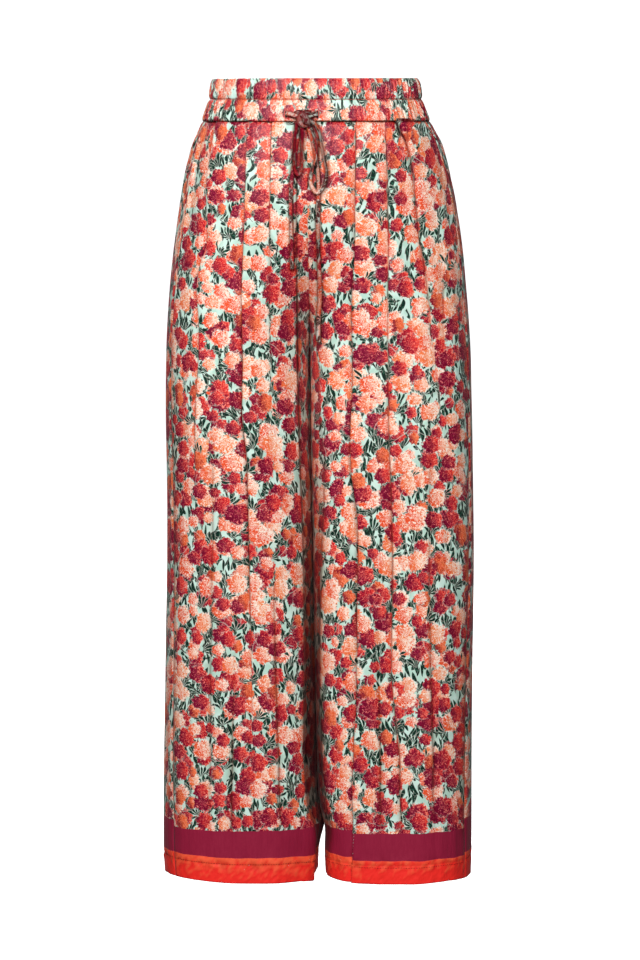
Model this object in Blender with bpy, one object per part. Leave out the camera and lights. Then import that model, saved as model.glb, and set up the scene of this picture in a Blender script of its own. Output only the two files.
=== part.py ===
"""Cropped wide-leg pull-on trousers, hollow and filled out as worn.

Metres, +Z up. The front faces -Y and +X is to the viewer's right. The origin is the middle of the
waist, halfway up the waistband. Left and right are the viewer's, looking at the front. A level is
given by its drop, the distance down from the top edge of the waistband.
"""
import math
from collections import namedtuple

import bmesh
import bpy
import numpy as np

# ------------------------------------------------------------------ driving sizes
BAND_HEIGHT = 0.048          # waistband, two elastic channels tall
BAND_STITCH = 0.0235         # drop of the stitching between the two channels
LENGTH = 0.911               # waistband top to hem
TOP = BAND_HEIGHT / 2        # height of the waistband's top edge over the origin
CROTCH = 0.315               # drop of the point where the four panels meet
SPLIT_START = 0.15           # drop where the centre seams begin to curve in between the legs
SPLIT_FRONT = 0.12           # drop where the front and back begin to divide into two legs
SPLIT_END = 0.42             # drop where each leg has its own full oval
CLOTH = 0.0012               # wall of a leg panel
BAND_INSIDE = 0.0016         # the waistband's inner face lies this far inside the smooth form
SEAM_GAP = 0.0003            # gap kept between neighbouring pieces
BODY_FULLNESS = 2.25         # superellipse exponent of the hips
LEG_OUTER_FULLNESS = 2.3     # superellipse exponent of a leg's outer half
LEG_INNER_FULLNESS = 3.0     # and of its flatter inner half
INNER_SLANT = 0.0070         # the two legs' inner faces lean this far, front against back

# One row for each level: side edges and centre line across, depth before and behind the middle,
# how far the side seam lies inside each side edge, and the gap between the two legs.
Level = namedtuple("Level", "drop left right centre front back seam_left seam_right gap")
OUTLINE = (
    Level(0.000, -0.1208, 0.1150, -0.0120, 0.084, 0.086, 0.0035, 0.0035, 0.0006),
    Level(0.023, -0.1240, 0.1185, -0.0120, 0.086, 0.088, 0.0035, 0.0035, 0.0006),
    Level(0.048, -0.1320, 0.1277, -0.0120, 0.089, 0.093, 0.0040, 0.0040, 0.0006),
    Level(0.071, -0.1412, 0.1388, -0.0120, 0.092, 0.098, 0.0050, 0.0045, 0.0006),
    Level(0.094, -0.1482, 0.1462, -0.0118, 0.094, 0.103, 0.0060, 0.0050, 0.0006),
    Level(0.140, -0.1564, 0.1576, -0.0115, 0.097, 0.110, 0.0070, 0.0055, 0.0006),
    Level(0.186, -0.1630, 0.1645, -0.0110, 0.098, 0.114, 0.0070, 0.0055, 0.0006),
    Level(0.232, -0.1680, 0.1682, -0.0100, 0.097, 0.113, 0.0065, 0.0055, 0.0006),
    Level(0.301, -0.1722, 0.1737, -0.0090, 0.093, 0.106, 0.0060, 0.0050, 0.0006),
    Level(0.370, -0.1732, 0.1758, -0.0075, 0.089, 0.098, 0.0065, 0.0050, 0.0007),
    Level(0.462, -0.1725, 0.1775, -0.0055, 0.086, 0.092, 0.0075, 0.0055, 0.0007),
    Level(0.531, -0.1728, 0.1785, -0.0045, 0.084, 0.089, 0.0085, 0.0060, 0.0007),
    Level(0.669, -0.1757, 0.1774, -0.0020, 0.082, 0.086, 0.0105, 0.0075, 0.0008),
    Level(0.807, -0.1785, 0.1768, 0.0010, 0.081, 0.084, 0.0125, 0.0085, 0.0012),
    Level(0.855, -0.1785, 0.1770, 0.0024, 0.081, 0.083, 0.0135, 0.0090, 0.0030),
    Level(0.880, -0.1782, 0.1770, 0.0030, 0.081, 0.083, 0.0138, 0.0090, 0.0085),
    Level(0.911, -0.1768, 0.1768, 0.0036, 0.081, 0.083, 0.0140, 0.0090, 0.0118),
)

# Pleats and long folds of the two fronts and the two backs. Each runs down the cloth through four
# places across (at FOLD_LEVELS), as deep as the four depths. A trough lies on the line and a ridge
# one width beyond it, on the side that turn points to (+1 right, -1 left).
FOLD_LEVELS = (0.048, 0.220, 0.520, 0.911)
Fold = namedtuple("Fold", "side across depth width turn")
FRONT_FOLDS = (
    Fold(-1, (-0.1200, -0.1345, -0.1390, -0.1430), (0.0020, 0.0030, 0.0020, 0.0014), 0.0060, 1),
    Fold(-1, (-0.0790, -0.0840, -0.0790, -0.0700), (0.0024, 0.0050, 0.0050, 0.0012), 0.0065, 1),
    Fold(-1, (-0.0520, -0.0540, -0.0500, -0.0450), (0.0024, 0.0022, 0.0010, 0.0012), 0.0060, 1),
    Fold(1, (0.0437, 0.0414, 0.0466, 0.0391), (0.0028, 0.0060, 0.0060, 0.0036), 0.0065, 1),
    Fold(1, (0.0782, 0.0805, 0.0851, 0.0960), (0.0022, 0.0036, 0.0026, 0.0030), 0.0060, 1),
    Fold(1, (0.0915, 0.1215, 0.1400, 0.1470), (0.0034, 0.0036, 0.0016, 0.0010), 0.0055, 1),
)
BACK_FOLDS = (
    Fold(-1, (-0.0980, -0.1160, -0.1230, -0.1250), (0.0016, 0.0034, 0.0030, 0.0024), 0.0080, -1),
    Fold(-1, (-0.0600, -0.0720, -0.0800, -0.0850), (0.0016, 0.0036, 0.0034, 0.0030), 0.0080, -1),
    Fold(-1, (-0.0340, -0.0400, -0.0460, -0.0420), (0.0014, 0.0020, 0.0016, 0.0024), 0.0080, 1),
    Fold(1, (0.0160, 0.0280, 0.0380, 0.0420), (0.0014, 0.0022, 0.0020, 0.0022), 0.0080, -1),
    Fold(1, (0.0480, 0.0640, 0.0760, 0.0800), (0.0016, 0.0036, 0.0032, 0.0026), 0.0080, 1),
    Fold(1, (0.0860, 0.1080, 0.1200, 0.1240), (0.0016, 0.0032, 0.0026, 0.0022), 0.0080, 1),
)
RIDGE_SHARE = 0.55           # a ridge's height over its trough's depth
# The cloth between the two innermost folds of the fronts lies back from the rest.
RECESS_EDGES = {-1: (-0.0242, -0.0236, -0.0190, -0.0080), 1: (0.0012, 0.0012, 0.0035, 0.0130)}
RECESS_DEPTH = (0.0016, 0.0070, 0.0040, 0.0000)
RECESS_WIDTH = 0.0050        # width of the slope at the recess's edge

GATHERS = {1: 7, -1: 12}     # small gathers below the waist seam on each panel, front and back
GATHER_DEPTH = {1: 0.0006, -1: 0.0016}
GATHER_FADE = {1: 0.045, -1: 0.110}  # drop below the seam by which they have died out

# Levels and columns of the panel grids.
PANEL_LEVELS = (0.0483, 0.057, 0.069, 0.086, 0.108, 0.135, 0.162, 0.190, 0.218, 0.245, 0.270,
                0.295, CROTCH, 0.337, 0.372, 0.430, 0.505, 0.595, 0.690, 0.780, 0.850, LENGTH)
FOLD_STATIONS = (-1.1, -0.1, 0.9, 1.9)              # columns beside a fold line, in fold widths
RECESS_STATIONS = (0.8, 0.1, -0.6)                  # and beside the recess's edge, in its widths
SIDE_STATIONS = (0.0, 0.36, 0.70)                   # shares of the way from the side seam to a fold
CENTRE_STATIONS = (0.22, 0.44, 0.66, 0.84, 1.0)     # and from the last fold to the centre
BACK_COLUMNS = 25

# The waistband's cross-section: drop, and how far it stands out of the smooth form.
BAND_SECTION = (
    (0.0000, 0.0002),
    (0.0060, 0.0013),
    (0.0165, 0.0014),
    (BAND_STITCH, 0.0001),
    (0.0310, 0.0014),
    (0.0415, 0.0015),
    (BAND_HEIGHT, 0.0004),
)
BAND_WAVES = {1: 20, -1: 30}       # elastic gathers in the front half and in the back half
BAND_WAVE_FLAT = 0.00025           # how far they rise in the middle of the front
BAND_WAVE_FULL = 0.0009            # and at the sides and back
BAND_WAVE_REACH = (-0.105, 0.080)  # the front is flat between these two places across

# Drawstring, a soft flat strip tied in a bow. Routes go from the knot, or from a buttonhole, and a
# row is a point: place across, drop, and how far it lies in front of the cloth.
CORD_WIDTH = 0.0040
CORD_STEP = 0.0085           # distance between the points of a cord's solid
CORD_SIDES = 2               # bevel resolution
CORD_REACH = 0.011           # the string rests on the cloth this far to each side of it
KNOT_PLACE = (-0.0185, 0.0440)
KNOT_SIZE = (0.0140, 0.0085, 0.0135)
KNOT_OUT = 0.0064
CORD_ROUTES = {
    "drawstring_lead_left": (
        (-0.0354, 0.0380, 0.0025), (-0.0353, 0.0381, 0.0048), (-0.0322, 0.0388, 0.0066),
        (-0.0264, 0.0400, 0.0068)),
    "drawstring_lead_right": (
        (-0.0002, 0.0390, 0.0025), (-0.0003, 0.0391, 0.0048), (-0.0036, 0.0398, 0.0066),
        (-0.0106, 0.0412, 0.0068)),
    "drawstring_loop_left": (
        (-0.0238, 0.0530, 0.0076), (-0.0252, 0.0600, 0.0076), (-0.0262, 0.0750, 0.0072),
        (-0.0266, 0.0900, 0.0070), (-0.0256, 0.1015, 0.0070), (-0.0222, 0.1062, 0.0072),
        (-0.0188, 0.1015, 0.0072), (-0.0180, 0.0900, 0.0072), (-0.0178, 0.0750, 0.0072),
        (-0.0176, 0.0620, 0.0076), (-0.0178, 0.0540, 0.0078)),
    "drawstring_loop_right": (
        (-0.0116, 0.0504, 0.0076), (-0.0062, 0.0580, 0.0076), (-0.0030, 0.0720, 0.0072),
        (-0.0042, 0.0880, 0.0070), (-0.0094, 0.1050, 0.0070), (-0.0096, 0.1160, 0.0070),
        (-0.0016, 0.1260, 0.0072), (0.0074, 0.1185, 0.0070), (0.0098, 0.1060, 0.0070),
        (0.0078, 0.0900, 0.0070), (0.0050, 0.0740, 0.0070), (0.0022, 0.0580, 0.0074),
        (-0.0040, 0.0486, 0.0086), (-0.0102, 0.0455, 0.0092)),
    "drawstring_tail_left": (
        (-0.0206, 0.0535, 0.0028), (-0.0225, 0.0640, 0.0026), (-0.0250, 0.0850, 0.0025),
        (-0.0290, 0.1100, 0.0026), (-0.0302, 0.1350, 0.0026), (-0.0296, 0.1600, 0.0026),
        (-0.0292, 0.1850, 0.0026), (-0.0286, 0.2120, 0.0026)),
    "drawstring_tail_right": (
        (-0.0128, 0.0535, 0.0028), (-0.0085, 0.0620, 0.0026), (-0.0040, 0.0800, 0.0025),
        (0.0000, 0.1020, 0.0024), (0.0006, 0.1300, 0.0025), (0.0000, 0.1550, 0.0026),
        (0.0004, 0.1850, 0.0026), (0.0014, 0.2150, 0.0026), (0.0020, 0.2500, 0.0026),
        (0.0006, 0.2760, 0.0026), (0.0004, 0.3025, 0.0026)),
}

# Colour, roughness and sheen of each finish.
FINISHES = {
    "cloth_front": ((0.72, 0.24, 0.20), 0.45),
    "cloth_back": ((0.62, 0.20, 0.18), 0.45),
    "cloth_band": ((0.78, 0.30, 0.24), 0.50),
    "cloth_cord": ((0.40, 0.05, 0.08), 0.50),
}


# ------------------------------------------------------------------ the smooth form
def curve_through(knots, values, at):
    """Smooth curve through a table's values, read at the places asked for."""
    knots, values, at = (np.asarray(item, float) for item in (knots, values, at))
    slopes = np.gradient(values, knots)
    cell = np.clip(np.searchsorted(knots, at) - 1, 0, len(knots) - 2)
    width = knots[cell + 1] - knots[cell]
    s = np.clip((at - knots[cell]) / width, 0.0, 1.0)
    return ((1 + 2 * s) * (1 - s) ** 2 * values[cell] + s * (1 - s) ** 2 * width * slopes[cell]
            + s * s * (3 - 2 * s) * values[cell + 1] + s * s * (s - 1) * width * slopes[cell + 1])


def outline(name, drop):
    """One column of the outline table at the given drops."""
    return curve_through([level.drop for level in OUTLINE], [getattr(level, name) for level in OUTLINE],
                         drop)


def ease(start, end, value):
    """Soft step from 0 at start to 1 at end."""
    s = np.clip((value - start) / (end - start), 0.0, 1.0)
    return s * s * (3 - 2 * s)


def oval(angle, outer_fullness, inner_fullness):
    """Unit superellipse: angle 0 is the outer side, a quarter turn the front, a half turn inside."""
    across, along = np.cos(angle), np.sin(angle)
    power = np.where(across > 0, outer_fullness, inner_fullness)
    radius = (np.abs(across) ** power + np.abs(along) ** power) ** (1 / power)
    return across / radius, along / radius


def seam_angle(inset, half, fullness):
    """Angle of the side seam that lies the given inset inside an oval's outer edge."""
    reach = np.clip((half - inset) / half, 0.05, 0.9999) ** fullness
    return np.arctan(((1 - reach) / reach) ** (1 / fullness))


def split_share(across, drop):
    """How far a point has gone from the shape of the hips (0) to that of one leg (1)."""
    wide = ease(SPLIT_FRONT, SPLIT_END, drop)
    centre = np.clip((drop - SPLIT_START) / (CROTCH - SPLIT_START), 0.0, 1.0) ** 1.6
    near = ease(0.70, 1.0, across)
    return wide + (centre - wide) * near


def smooth_point(side, face, across, drop):
    """Point of the cloth before any fold. Across runs from the side seam (0) to the centre (1)."""
    across, drop = np.broadcast_arrays(np.asarray(across, float), np.asarray(drop, float))
    edge = outline("left" if side < 0 else "right", drop)
    inset = outline("seam_left" if side < 0 else "seam_right", drop)
    centre = outline("centre", drop)
    depth_front, depth_back = outline("front", drop), outline("back", drop)

    body_half = np.abs(edge - centre) - SEAM_GAP / 2
    body_seam = seam_angle(inset, body_half, BODY_FULLNESS)
    body_angle = body_seam + across * (face * math.pi / 2 - body_seam)
    body_x, body_y = oval(body_angle, BODY_FULLNESS, BODY_FULLNESS)
    body_x = body_x * body_half + SEAM_GAP / 2

    gap = outline("gap", drop) / 2
    leg_half = (np.abs(edge - centre) - gap) / 2
    leg_seam = seam_angle(inset, leg_half, LEG_OUTER_FULLNESS)
    leg_angle = leg_seam + across * (face * math.pi - leg_seam)
    leg_x, leg_y = oval(leg_angle, LEG_OUTER_FULLNESS, LEG_INNER_FULLNESS)
    slant = side * INNER_SLANT * leg_y * ease(0.2, -0.8, leg_x)
    leg_x = gap + leg_half * (1 + leg_x) - slant

    share = split_share(across, drop)
    x = body_x + (leg_x - body_x) * share
    y = body_y + (leg_y - body_y) * share
    y = y * np.where(y > 0, depth_front, depth_back)
    x = centre + side * x
    if face > 0:
        fold_edge = curve_through(FOLD_LEVELS, RECESS_EDGES[side], drop)
        inside = ease(-RECESS_WIDTH / 2, RECESS_WIDTH / 2, (fold_edge - x) * side)
        y = y - curve_through(FOLD_LEVELS, RECESS_DEPTH, drop) * inside * (1 - share)
    return np.stack([x, -y, TOP - drop], axis=-1)


def smooth_normal(side, face, across, drop):
    """Outward direction of the smooth cloth."""
    step_across, step_drop = 2e-4, 2e-4
    ahead = np.clip(np.asarray(across, float) + step_across, 0, 1)
    behind = np.clip(np.asarray(across, float) - step_across, 0, 1)
    along = smooth_point(side, face, ahead, drop) - smooth_point(side, face, behind, drop)
    down = (smooth_point(side, face, across, np.minimum(drop + step_drop, LENGTH))
            - smooth_point(side, face, across, np.maximum(drop - step_drop, 0)))
    normal = np.cross(along, down) * side * face
    return normal / np.linalg.norm(normal, axis=-1, keepdims=True)


def across_at(side, face, x, drop):
    """The share across a panel at which its smooth cloth reaches the place x."""
    shares = np.linspace(0.0, 1.0, 241)
    reach = smooth_point(side, face, shares, drop)[:, 0] * -side
    start = int(np.argmin(reach))
    return float(np.interp(x * -side, reach[start:], shares[start:]))


# ------------------------------------------------------------------ folds
def bump(offset):
    """Soft bell, 1 at no offset."""
    return np.exp(-offset * offset)


def fold_height(side, face, across, drop):
    """How far the pleats, long folds and gathers lift the cloth out of its smooth form."""
    point = smooth_point(side, face, across, drop)
    x = point[..., 0]
    height = np.zeros_like(x)
    for fold in FRONT_FOLDS if face > 0 else BACK_FOLDS:
        if fold.side == side:
            line = curve_through(FOLD_LEVELS, fold.across, drop)
            depth = curve_through(FOLD_LEVELS, fold.depth, drop)
            offset = (x - line) / fold.width * fold.turn
            height += depth * (RIDGE_SHARE * bump((offset - 1.2) / 1.1) - bump(offset / 0.75))

    below = drop - BAND_HEIGHT
    fade = 1 - ease(0.0, GATHER_FADE[face], below)
    swell = 1 + 1.4 * ease(0.0, 0.025, below)
    height += GATHER_DEPTH[face] * fade * swell * np.cos(2 * math.pi * GATHERS[face] * across)

    calm = ease(0.0, 0.035, across)
    centre = 1 - ease(0.90, 0.985, across) * ease(0.0, 0.1, split_share(across, drop))
    return height * calm * centre


def cloth_point(side, face, across, drop, out=0.0):
    """Point of the folded cloth's outer face, or one that lies further out."""
    height = (fold_height(side, face, across, drop) + out)[..., None]
    return smooth_point(side, face, across, drop) + smooth_normal(side, face, across, drop) * height


# ------------------------------------------------------------------ building solids
def new_object(name, mesh, finish, collection):
    """Put a mesh in the scene as a named object with its own finish."""
    colour, roughness = FINISHES[finish]
    material = bpy.data.materials.new(name + "_" + finish)
    material.use_nodes = True
    shader = material.node_tree.nodes["Principled BSDF"]
    shader.inputs["Base Color"].default_value = (*colour, 1.0)
    shader.inputs["Roughness"].default_value = roughness
    shader.inputs["Metallic"].default_value = 0.0
    mesh.materials.append(material)
    item = bpy.data.objects.new(name, mesh)
    collection.objects.link(item)
    return item


def wall(name, outer, inner, finish, collection):
    """Closed wall between two grids of points that follow each other, face to face."""
    rows, columns = outer.shape[:2]
    shell = bmesh.new()
    layers = [[[shell.verts.new(point) for point in row] for row in grid] for grid in (outer, inner)]
    for layer in layers:
        for i in range(rows - 1):
            for j in range(columns - 1):
                shell.faces.new((layer[i][j], layer[i][j + 1], layer[i + 1][j + 1], layer[i + 1][j]))
    rim = [(0, j) for j in range(columns)] + [(i, columns - 1) for i in range(1, rows)]
    rim += [(rows - 1, j) for j in range(columns - 2, -1, -1)] + [(i, 0) for i in range(rows - 2, 0, -1)]
    for (i, j), (m, n) in zip(rim, rim[1:] + rim[:1]):
        shell.faces.new((layers[0][i][j], layers[0][m][n], layers[1][m][n], layers[1][i][j]))
    bmesh.ops.recalc_face_normals(shell, faces=shell.faces)
    mesh = bpy.data.meshes.new(name)
    shell.to_mesh(mesh)
    shell.free()
    mesh.shade_smooth()
    mesh.set_sharp_from_angle(angle=math.radians(55))
    return new_object(name, mesh, finish, collection)


def front_columns(side, drop):
    """Shares across a front panel at one level, closer together at its folds."""
    places = []
    for fold in FRONT_FOLDS:
        if fold.side == side:
            line = float(curve_through(FOLD_LEVELS, fold.across, drop))
            places += [line + fold.turn * fold.width * station for station in FOLD_STATIONS]
    edge = float(curve_through(FOLD_LEVELS, RECESS_EDGES[side], drop))
    places += [edge + side * RECESS_WIDTH * station for station in RECESS_STATIONS]
    shares = sorted(across_at(side, 1, x, drop) for x in places)
    first, last = shares[0], shares[-1]
    outer = [first * share for share in SIDE_STATIONS]
    inner = [last + (1 - last) * share for share in CENTRE_STATIONS]
    return np.array(outer + shares + inner)


def seam_trim(side, face, drop):
    """Shares to take off a panel's two edges, half a gap each."""
    step = 0.01
    ends = smooth_point(side, face, np.array([0.0, step, 1 - step, 1.0]), drop)
    first = step * SEAM_GAP / 2 / np.linalg.norm(ends[1] - ends[0])
    last = step * SEAM_GAP / 2 / np.linalg.norm(ends[3] - ends[2])
    return first, last if drop > SPLIT_START else 0.0


def panel(name, side, face, collection):
    """One leg panel, from the waist seam to the hem."""
    outer, inner = [], []
    for drop in PANEL_LEVELS:
        shares = front_columns(side, drop) if face > 0 else np.linspace(0, 1, BACK_COLUMNS)
        first, last = seam_trim(side, face, drop)
        shares = np.clip(shares, first, 1 - last)
        outer.append(cloth_point(side, face, shares, drop))
        inner.append(cloth_point(side, face, shares, drop, -CLOTH))
    return wall(name, np.array(outer), np.array(inner),
                "cloth_front" if face > 0 else "cloth_back", collection)


# ------------------------------------------------------------------ waistband
def band_stations(face, count):
    """Places evenly spaced along one half of the waist, as a side and a share across."""
    shares = np.linspace(0, 1, 200)
    left = smooth_point(-1, face, shares, BAND_STITCH)
    right = smooth_point(1, face, shares[::-1], BAND_STITCH)
    path = np.concatenate([left, right])
    sides = np.concatenate([-np.ones(200), np.ones(200)])
    across = np.concatenate([shares, shares[::-1]])
    run = np.concatenate([[0], np.cumsum(np.linalg.norm(np.diff(path, axis=0), axis=1))])
    places = np.linspace(SEAM_GAP / 2, run[-1] - SEAM_GAP / 2, count)
    middle = run[199]
    stations = []
    for place in places:
        side = -1 if place < middle else 1
        chosen = sides == side
        stations.append((side, float(np.interp(place, run[chosen], across[chosen]))))
    return stations


def band_point(side, face, across, drop, wave, out):
    """Point of the waistband, wave being the phase of its elastic gathers."""
    point = smooth_point(side, face, across, drop)
    low, high = BAND_WAVE_REACH
    x = float(point[0])
    gathered = 1.0 if face < 0 else float(max(ease(high, high + 0.02, x), ease(low, low - 0.01, x)))
    rise = BAND_WAVE_FLAT + (BAND_WAVE_FULL - BAND_WAVE_FLAT) * gathered
    normal = smooth_normal(side, face, across, drop)
    return point + normal * (out + rise * math.cos(wave))


def waistband(name, face, collection):
    """Half of the waistband, its two channels swelling between the rows of stitching."""
    stations = band_stations(face, BAND_WAVES[face] * 4 + 1)
    outer, inner = [], []
    for drop, out in BAND_SECTION:
        outer.append([band_point(side, face, across, drop, index * math.pi / 2, out)
                      for index, (side, across) in enumerate(stations)])
        inner.append([smooth_point(side, face, across, drop)
                      - smooth_normal(side, face, across, drop) * BAND_INSIDE
                      for side, across in stations])
    return wall(name, np.array(outer), np.array(inner), "cloth_band", collection)


# ------------------------------------------------------------------ drawstring
def front_place(x, drop, out):
    """Point in front of the foremost cloth beside a place across and a drop."""
    centre = float(outline("centre", drop))
    foremost = 0.0
    for near in (x - CORD_REACH, x, x + CORD_REACH):
        side = -1 if near < centre else 1
        across = np.array(across_at(side, 1, near, drop))
        place = smooth_point if drop < BAND_HEIGHT else cloth_point
        foremost = min(foremost, float(place(side, 1, across, drop)[1]))
    return np.array([x, foremost - out, TOP - drop])


def smooth_route(rows):
    """Points at even steps along a smooth curve through a route's own points."""
    knots = np.array([front_place(*row) for row in rows])
    run = np.concatenate([[0], np.cumsum(np.linalg.norm(np.diff(knots, axis=0), axis=1))])
    fine = np.linspace(0, run[-1], 400)
    curve = np.stack([curve_through(run, knots[:, axis], fine) for axis in range(3)], axis=1)
    length = np.concatenate([[0], np.cumsum(np.linalg.norm(np.diff(curve, axis=0), axis=1))])
    count = max(5, round(length[-1] / CORD_STEP) + 1)
    even = np.linspace(0, length[-1], count)
    return np.stack([np.interp(even, length, curve[:, axis]) for axis in range(3)], axis=1)


def cord(name, rows, collection):
    """A stretch of the drawstring, as a tube along its route."""
    points = smooth_route(rows)
    line = bpy.data.curves.new(name, "CURVE")
    line.dimensions = "3D"
    line.bevel_depth = CORD_WIDTH / 2
    line.bevel_resolution = CORD_SIDES
    line.use_fill_caps = True
    spline = line.splines.new("POLY")
    spline.points.add(len(points) - 1)
    for spot, point in zip(spline.points, points):
        spot.co = (*point, 1.0)
    return new_object(name, line, "cloth_cord", collection)


def knot(name, collection):
    """The knot of the bow, a lumpy rounded block."""
    ball = bmesh.new()
    bmesh.ops.create_uvsphere(ball, u_segments=12, v_segments=8, radius=0.5)
    middle = front_place(*KNOT_PLACE, KNOT_OUT)
    for vert in ball.verts:
        x, y, z = vert.co
        lump = 1 + 0.05 * math.cos(6 * math.pi * z)
        vert.co = (middle[0] + x * KNOT_SIZE[0] * lump,
                   middle[1] + y * KNOT_SIZE[1] * lump,
                   middle[2] + z * KNOT_SIZE[2])
    mesh = bpy.data.meshes.new(name)
    ball.to_mesh(mesh)
    ball.free()
    mesh.shade_smooth()
    return new_object(name, mesh, "cloth_cord", collection)


def main():
    for item in list(bpy.data.objects):
        bpy.data.objects.remove(item, do_unlink=True)
    trousers = bpy.data.collections.new("capri_pants")
    bpy.context.scene.collection.children.link(trousers)

    for side, side_name in ((-1, "left"), (1, "right")):
        for face, face_name in ((1, "front"), (-1, "back")):
            panel(face_name + "_" + side_name, side, face, trousers)
    waistband("waistband_front", 1, trousers)
    waistband("waistband_back", -1, trousers)
    knot("drawstring_knot", trousers)
    for name, rows in CORD_ROUTES.items():
        cord(name, rows, trousers)


main()
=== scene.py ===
import math

import bpy
import numpy as np
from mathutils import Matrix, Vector


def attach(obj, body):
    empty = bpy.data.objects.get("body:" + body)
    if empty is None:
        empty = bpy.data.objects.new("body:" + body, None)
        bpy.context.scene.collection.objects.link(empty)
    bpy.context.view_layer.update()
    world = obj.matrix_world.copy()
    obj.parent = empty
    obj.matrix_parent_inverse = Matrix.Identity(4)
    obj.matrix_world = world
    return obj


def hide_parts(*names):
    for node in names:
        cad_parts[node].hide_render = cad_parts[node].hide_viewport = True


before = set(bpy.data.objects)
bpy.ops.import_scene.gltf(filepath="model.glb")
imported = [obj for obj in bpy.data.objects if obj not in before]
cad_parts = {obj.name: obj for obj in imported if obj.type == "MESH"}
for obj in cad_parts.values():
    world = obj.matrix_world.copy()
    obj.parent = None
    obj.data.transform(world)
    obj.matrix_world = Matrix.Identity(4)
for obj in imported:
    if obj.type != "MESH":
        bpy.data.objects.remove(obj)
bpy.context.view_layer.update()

print("frame loaded")

# The worn form, as the CAD model has it. Drop is the distance down from the top of the waistband,
# side is -1 for the viewer's left and +1 for the right, face is +1 in front and -1 behind.
form = {
    "bandHeight": 0.048,
    "bandStitch": 0.0235,      # drop of the stitching between the two elastic channels
    "length": 0.911,
    "crotch": 0.315,
    "splitStart": 0.15,
    "splitFront": 0.12,
    "splitEnd": 0.42,
    "bodyFullness": 2.25,
    "legOuterFullness": 2.3,
    "legInnerFullness": 3.0,
    "innerSlant": 0.0070,
}
top = form["bandHeight"] / 2
length = form["length"]
# drop, left and right edge, centre line, depth in front and behind, side seams' inset, leg gap
outlineNames = ("drop", "left", "right", "centre", "front", "back", "seamLeft", "seamRight", "gap")
outlineRows = np.array([
    (0.000, -0.1208, 0.1150, -0.0120, 0.084, 0.086, 0.0035, 0.0035, 0.0006),
    (0.023, -0.1240, 0.1185, -0.0120, 0.086, 0.088, 0.0035, 0.0035, 0.0006),
    (0.048, -0.1320, 0.1277, -0.0120, 0.089, 0.093, 0.0040, 0.0040, 0.0006),
    (0.071, -0.1412, 0.1388, -0.0120, 0.092, 0.098, 0.0050, 0.0045, 0.0006),
    (0.094, -0.1482, 0.1462, -0.0118, 0.094, 0.103, 0.0060, 0.0050, 0.0006),
    (0.140, -0.1564, 0.1576, -0.0115, 0.097, 0.110, 0.0070, 0.0055, 0.0006),
    (0.186, -0.1630, 0.1645, -0.0110, 0.098, 0.114, 0.0070, 0.0055, 0.0006),
    (0.232, -0.1680, 0.1682, -0.0100, 0.097, 0.113, 0.0065, 0.0055, 0.0006),
    (0.301, -0.1722, 0.1737, -0.0090, 0.093, 0.106, 0.0060, 0.0050, 0.0006),
    (0.370, -0.1732, 0.1758, -0.0075, 0.089, 0.098, 0.0065, 0.0050, 0.0007),
    (0.462, -0.1725, 0.1775, -0.0055, 0.086, 0.092, 0.0075, 0.0055, 0.0007),
    (0.531, -0.1728, 0.1785, -0.0045, 0.084, 0.089, 0.0085, 0.0060, 0.0007),
    (0.669, -0.1757, 0.1774, -0.0020, 0.082, 0.086, 0.0105, 0.0075, 0.0008),
    (0.807, -0.1785, 0.1768, 0.0010, 0.081, 0.084, 0.0125, 0.0085, 0.0012),
    (0.855, -0.1785, 0.1770, 0.0024, 0.081, 0.083, 0.0135, 0.0090, 0.0030),
    (0.880, -0.1782, 0.1770, 0.0030, 0.081, 0.083, 0.0138, 0.0090, 0.0085),
    (0.911, -0.1768, 0.1768, 0.0036, 0.081, 0.083, 0.0140, 0.0090, 0.0118),
])
# The cloth beside the centre seam lies back from the rest, from these places across inwards.
recess = {
    "drops": (0.048, 0.220, 0.520, 0.911),
    "edges": {-1: (-0.0242, -0.0236, -0.0190, -0.0080), 1: (0.0012, 0.0012, 0.0035, 0.0130)},
    "depths": (0.0016, 0.0070, 0.0040, 0.0000),
    "width": 0.0026,
}

# Below the hips the two legs' inner fronts turn back into a groove; shades is the painted shade on the
# cloth deep in it, and line a line of painted shade along its left edge.
groove = {
    "drops": (0.048, 0.081, 0.149, 0.240, 0.336, 0.443, 0.556, 0.669, 0.782, 0.844, 0.911),
    "left": (-0.0237, -0.0237, -0.0249, -0.0243, -0.0232, -0.0203, -0.0169, -0.0158, -0.0153, -0.0102,
             -0.003),
    "right": (0.0011, 0.0011, 0.0, -0.0011, 0.0006, 0.0068, 0.0034, 0.0011, 0.0045, 0.0079, 0.0092),
    "depths": (0.0, 0.0, 0.0, 0.0, 0.002, 0.0045, 0.008, 0.01, 0.0095, 0.006, 0.002),
    "shades": (0.08, 0.10, 0.14, 0.06, 0.08, 0.24, 0.62, 0.80, 0.86, 0.70, 0.25),
    "line": (0.20, 0.45, 0.50, 0.85, 0.95, 0.80, 0.55, 0.40, 0.30, 0.20, 0.00),
}

# How far the front of the hem's edge rises, at places across.
hemRise = {
    "places": (-0.17, -0.156, -0.133, -0.1, -0.02, -0.01, -0.006, 0.002, 0.004, 0.012, 0.022, 0.03, 0.07,
               0.115, 0.149, 0.17),
    "heights": (0.004, 0.004, 0.003, 0.001, 0.0, -0.0012, -0.002, -0.002, 0.0026, 0.0026, 0.0016, 0.001, 0.0,
                0.0, 0.0014, 0.0),
}
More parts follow.
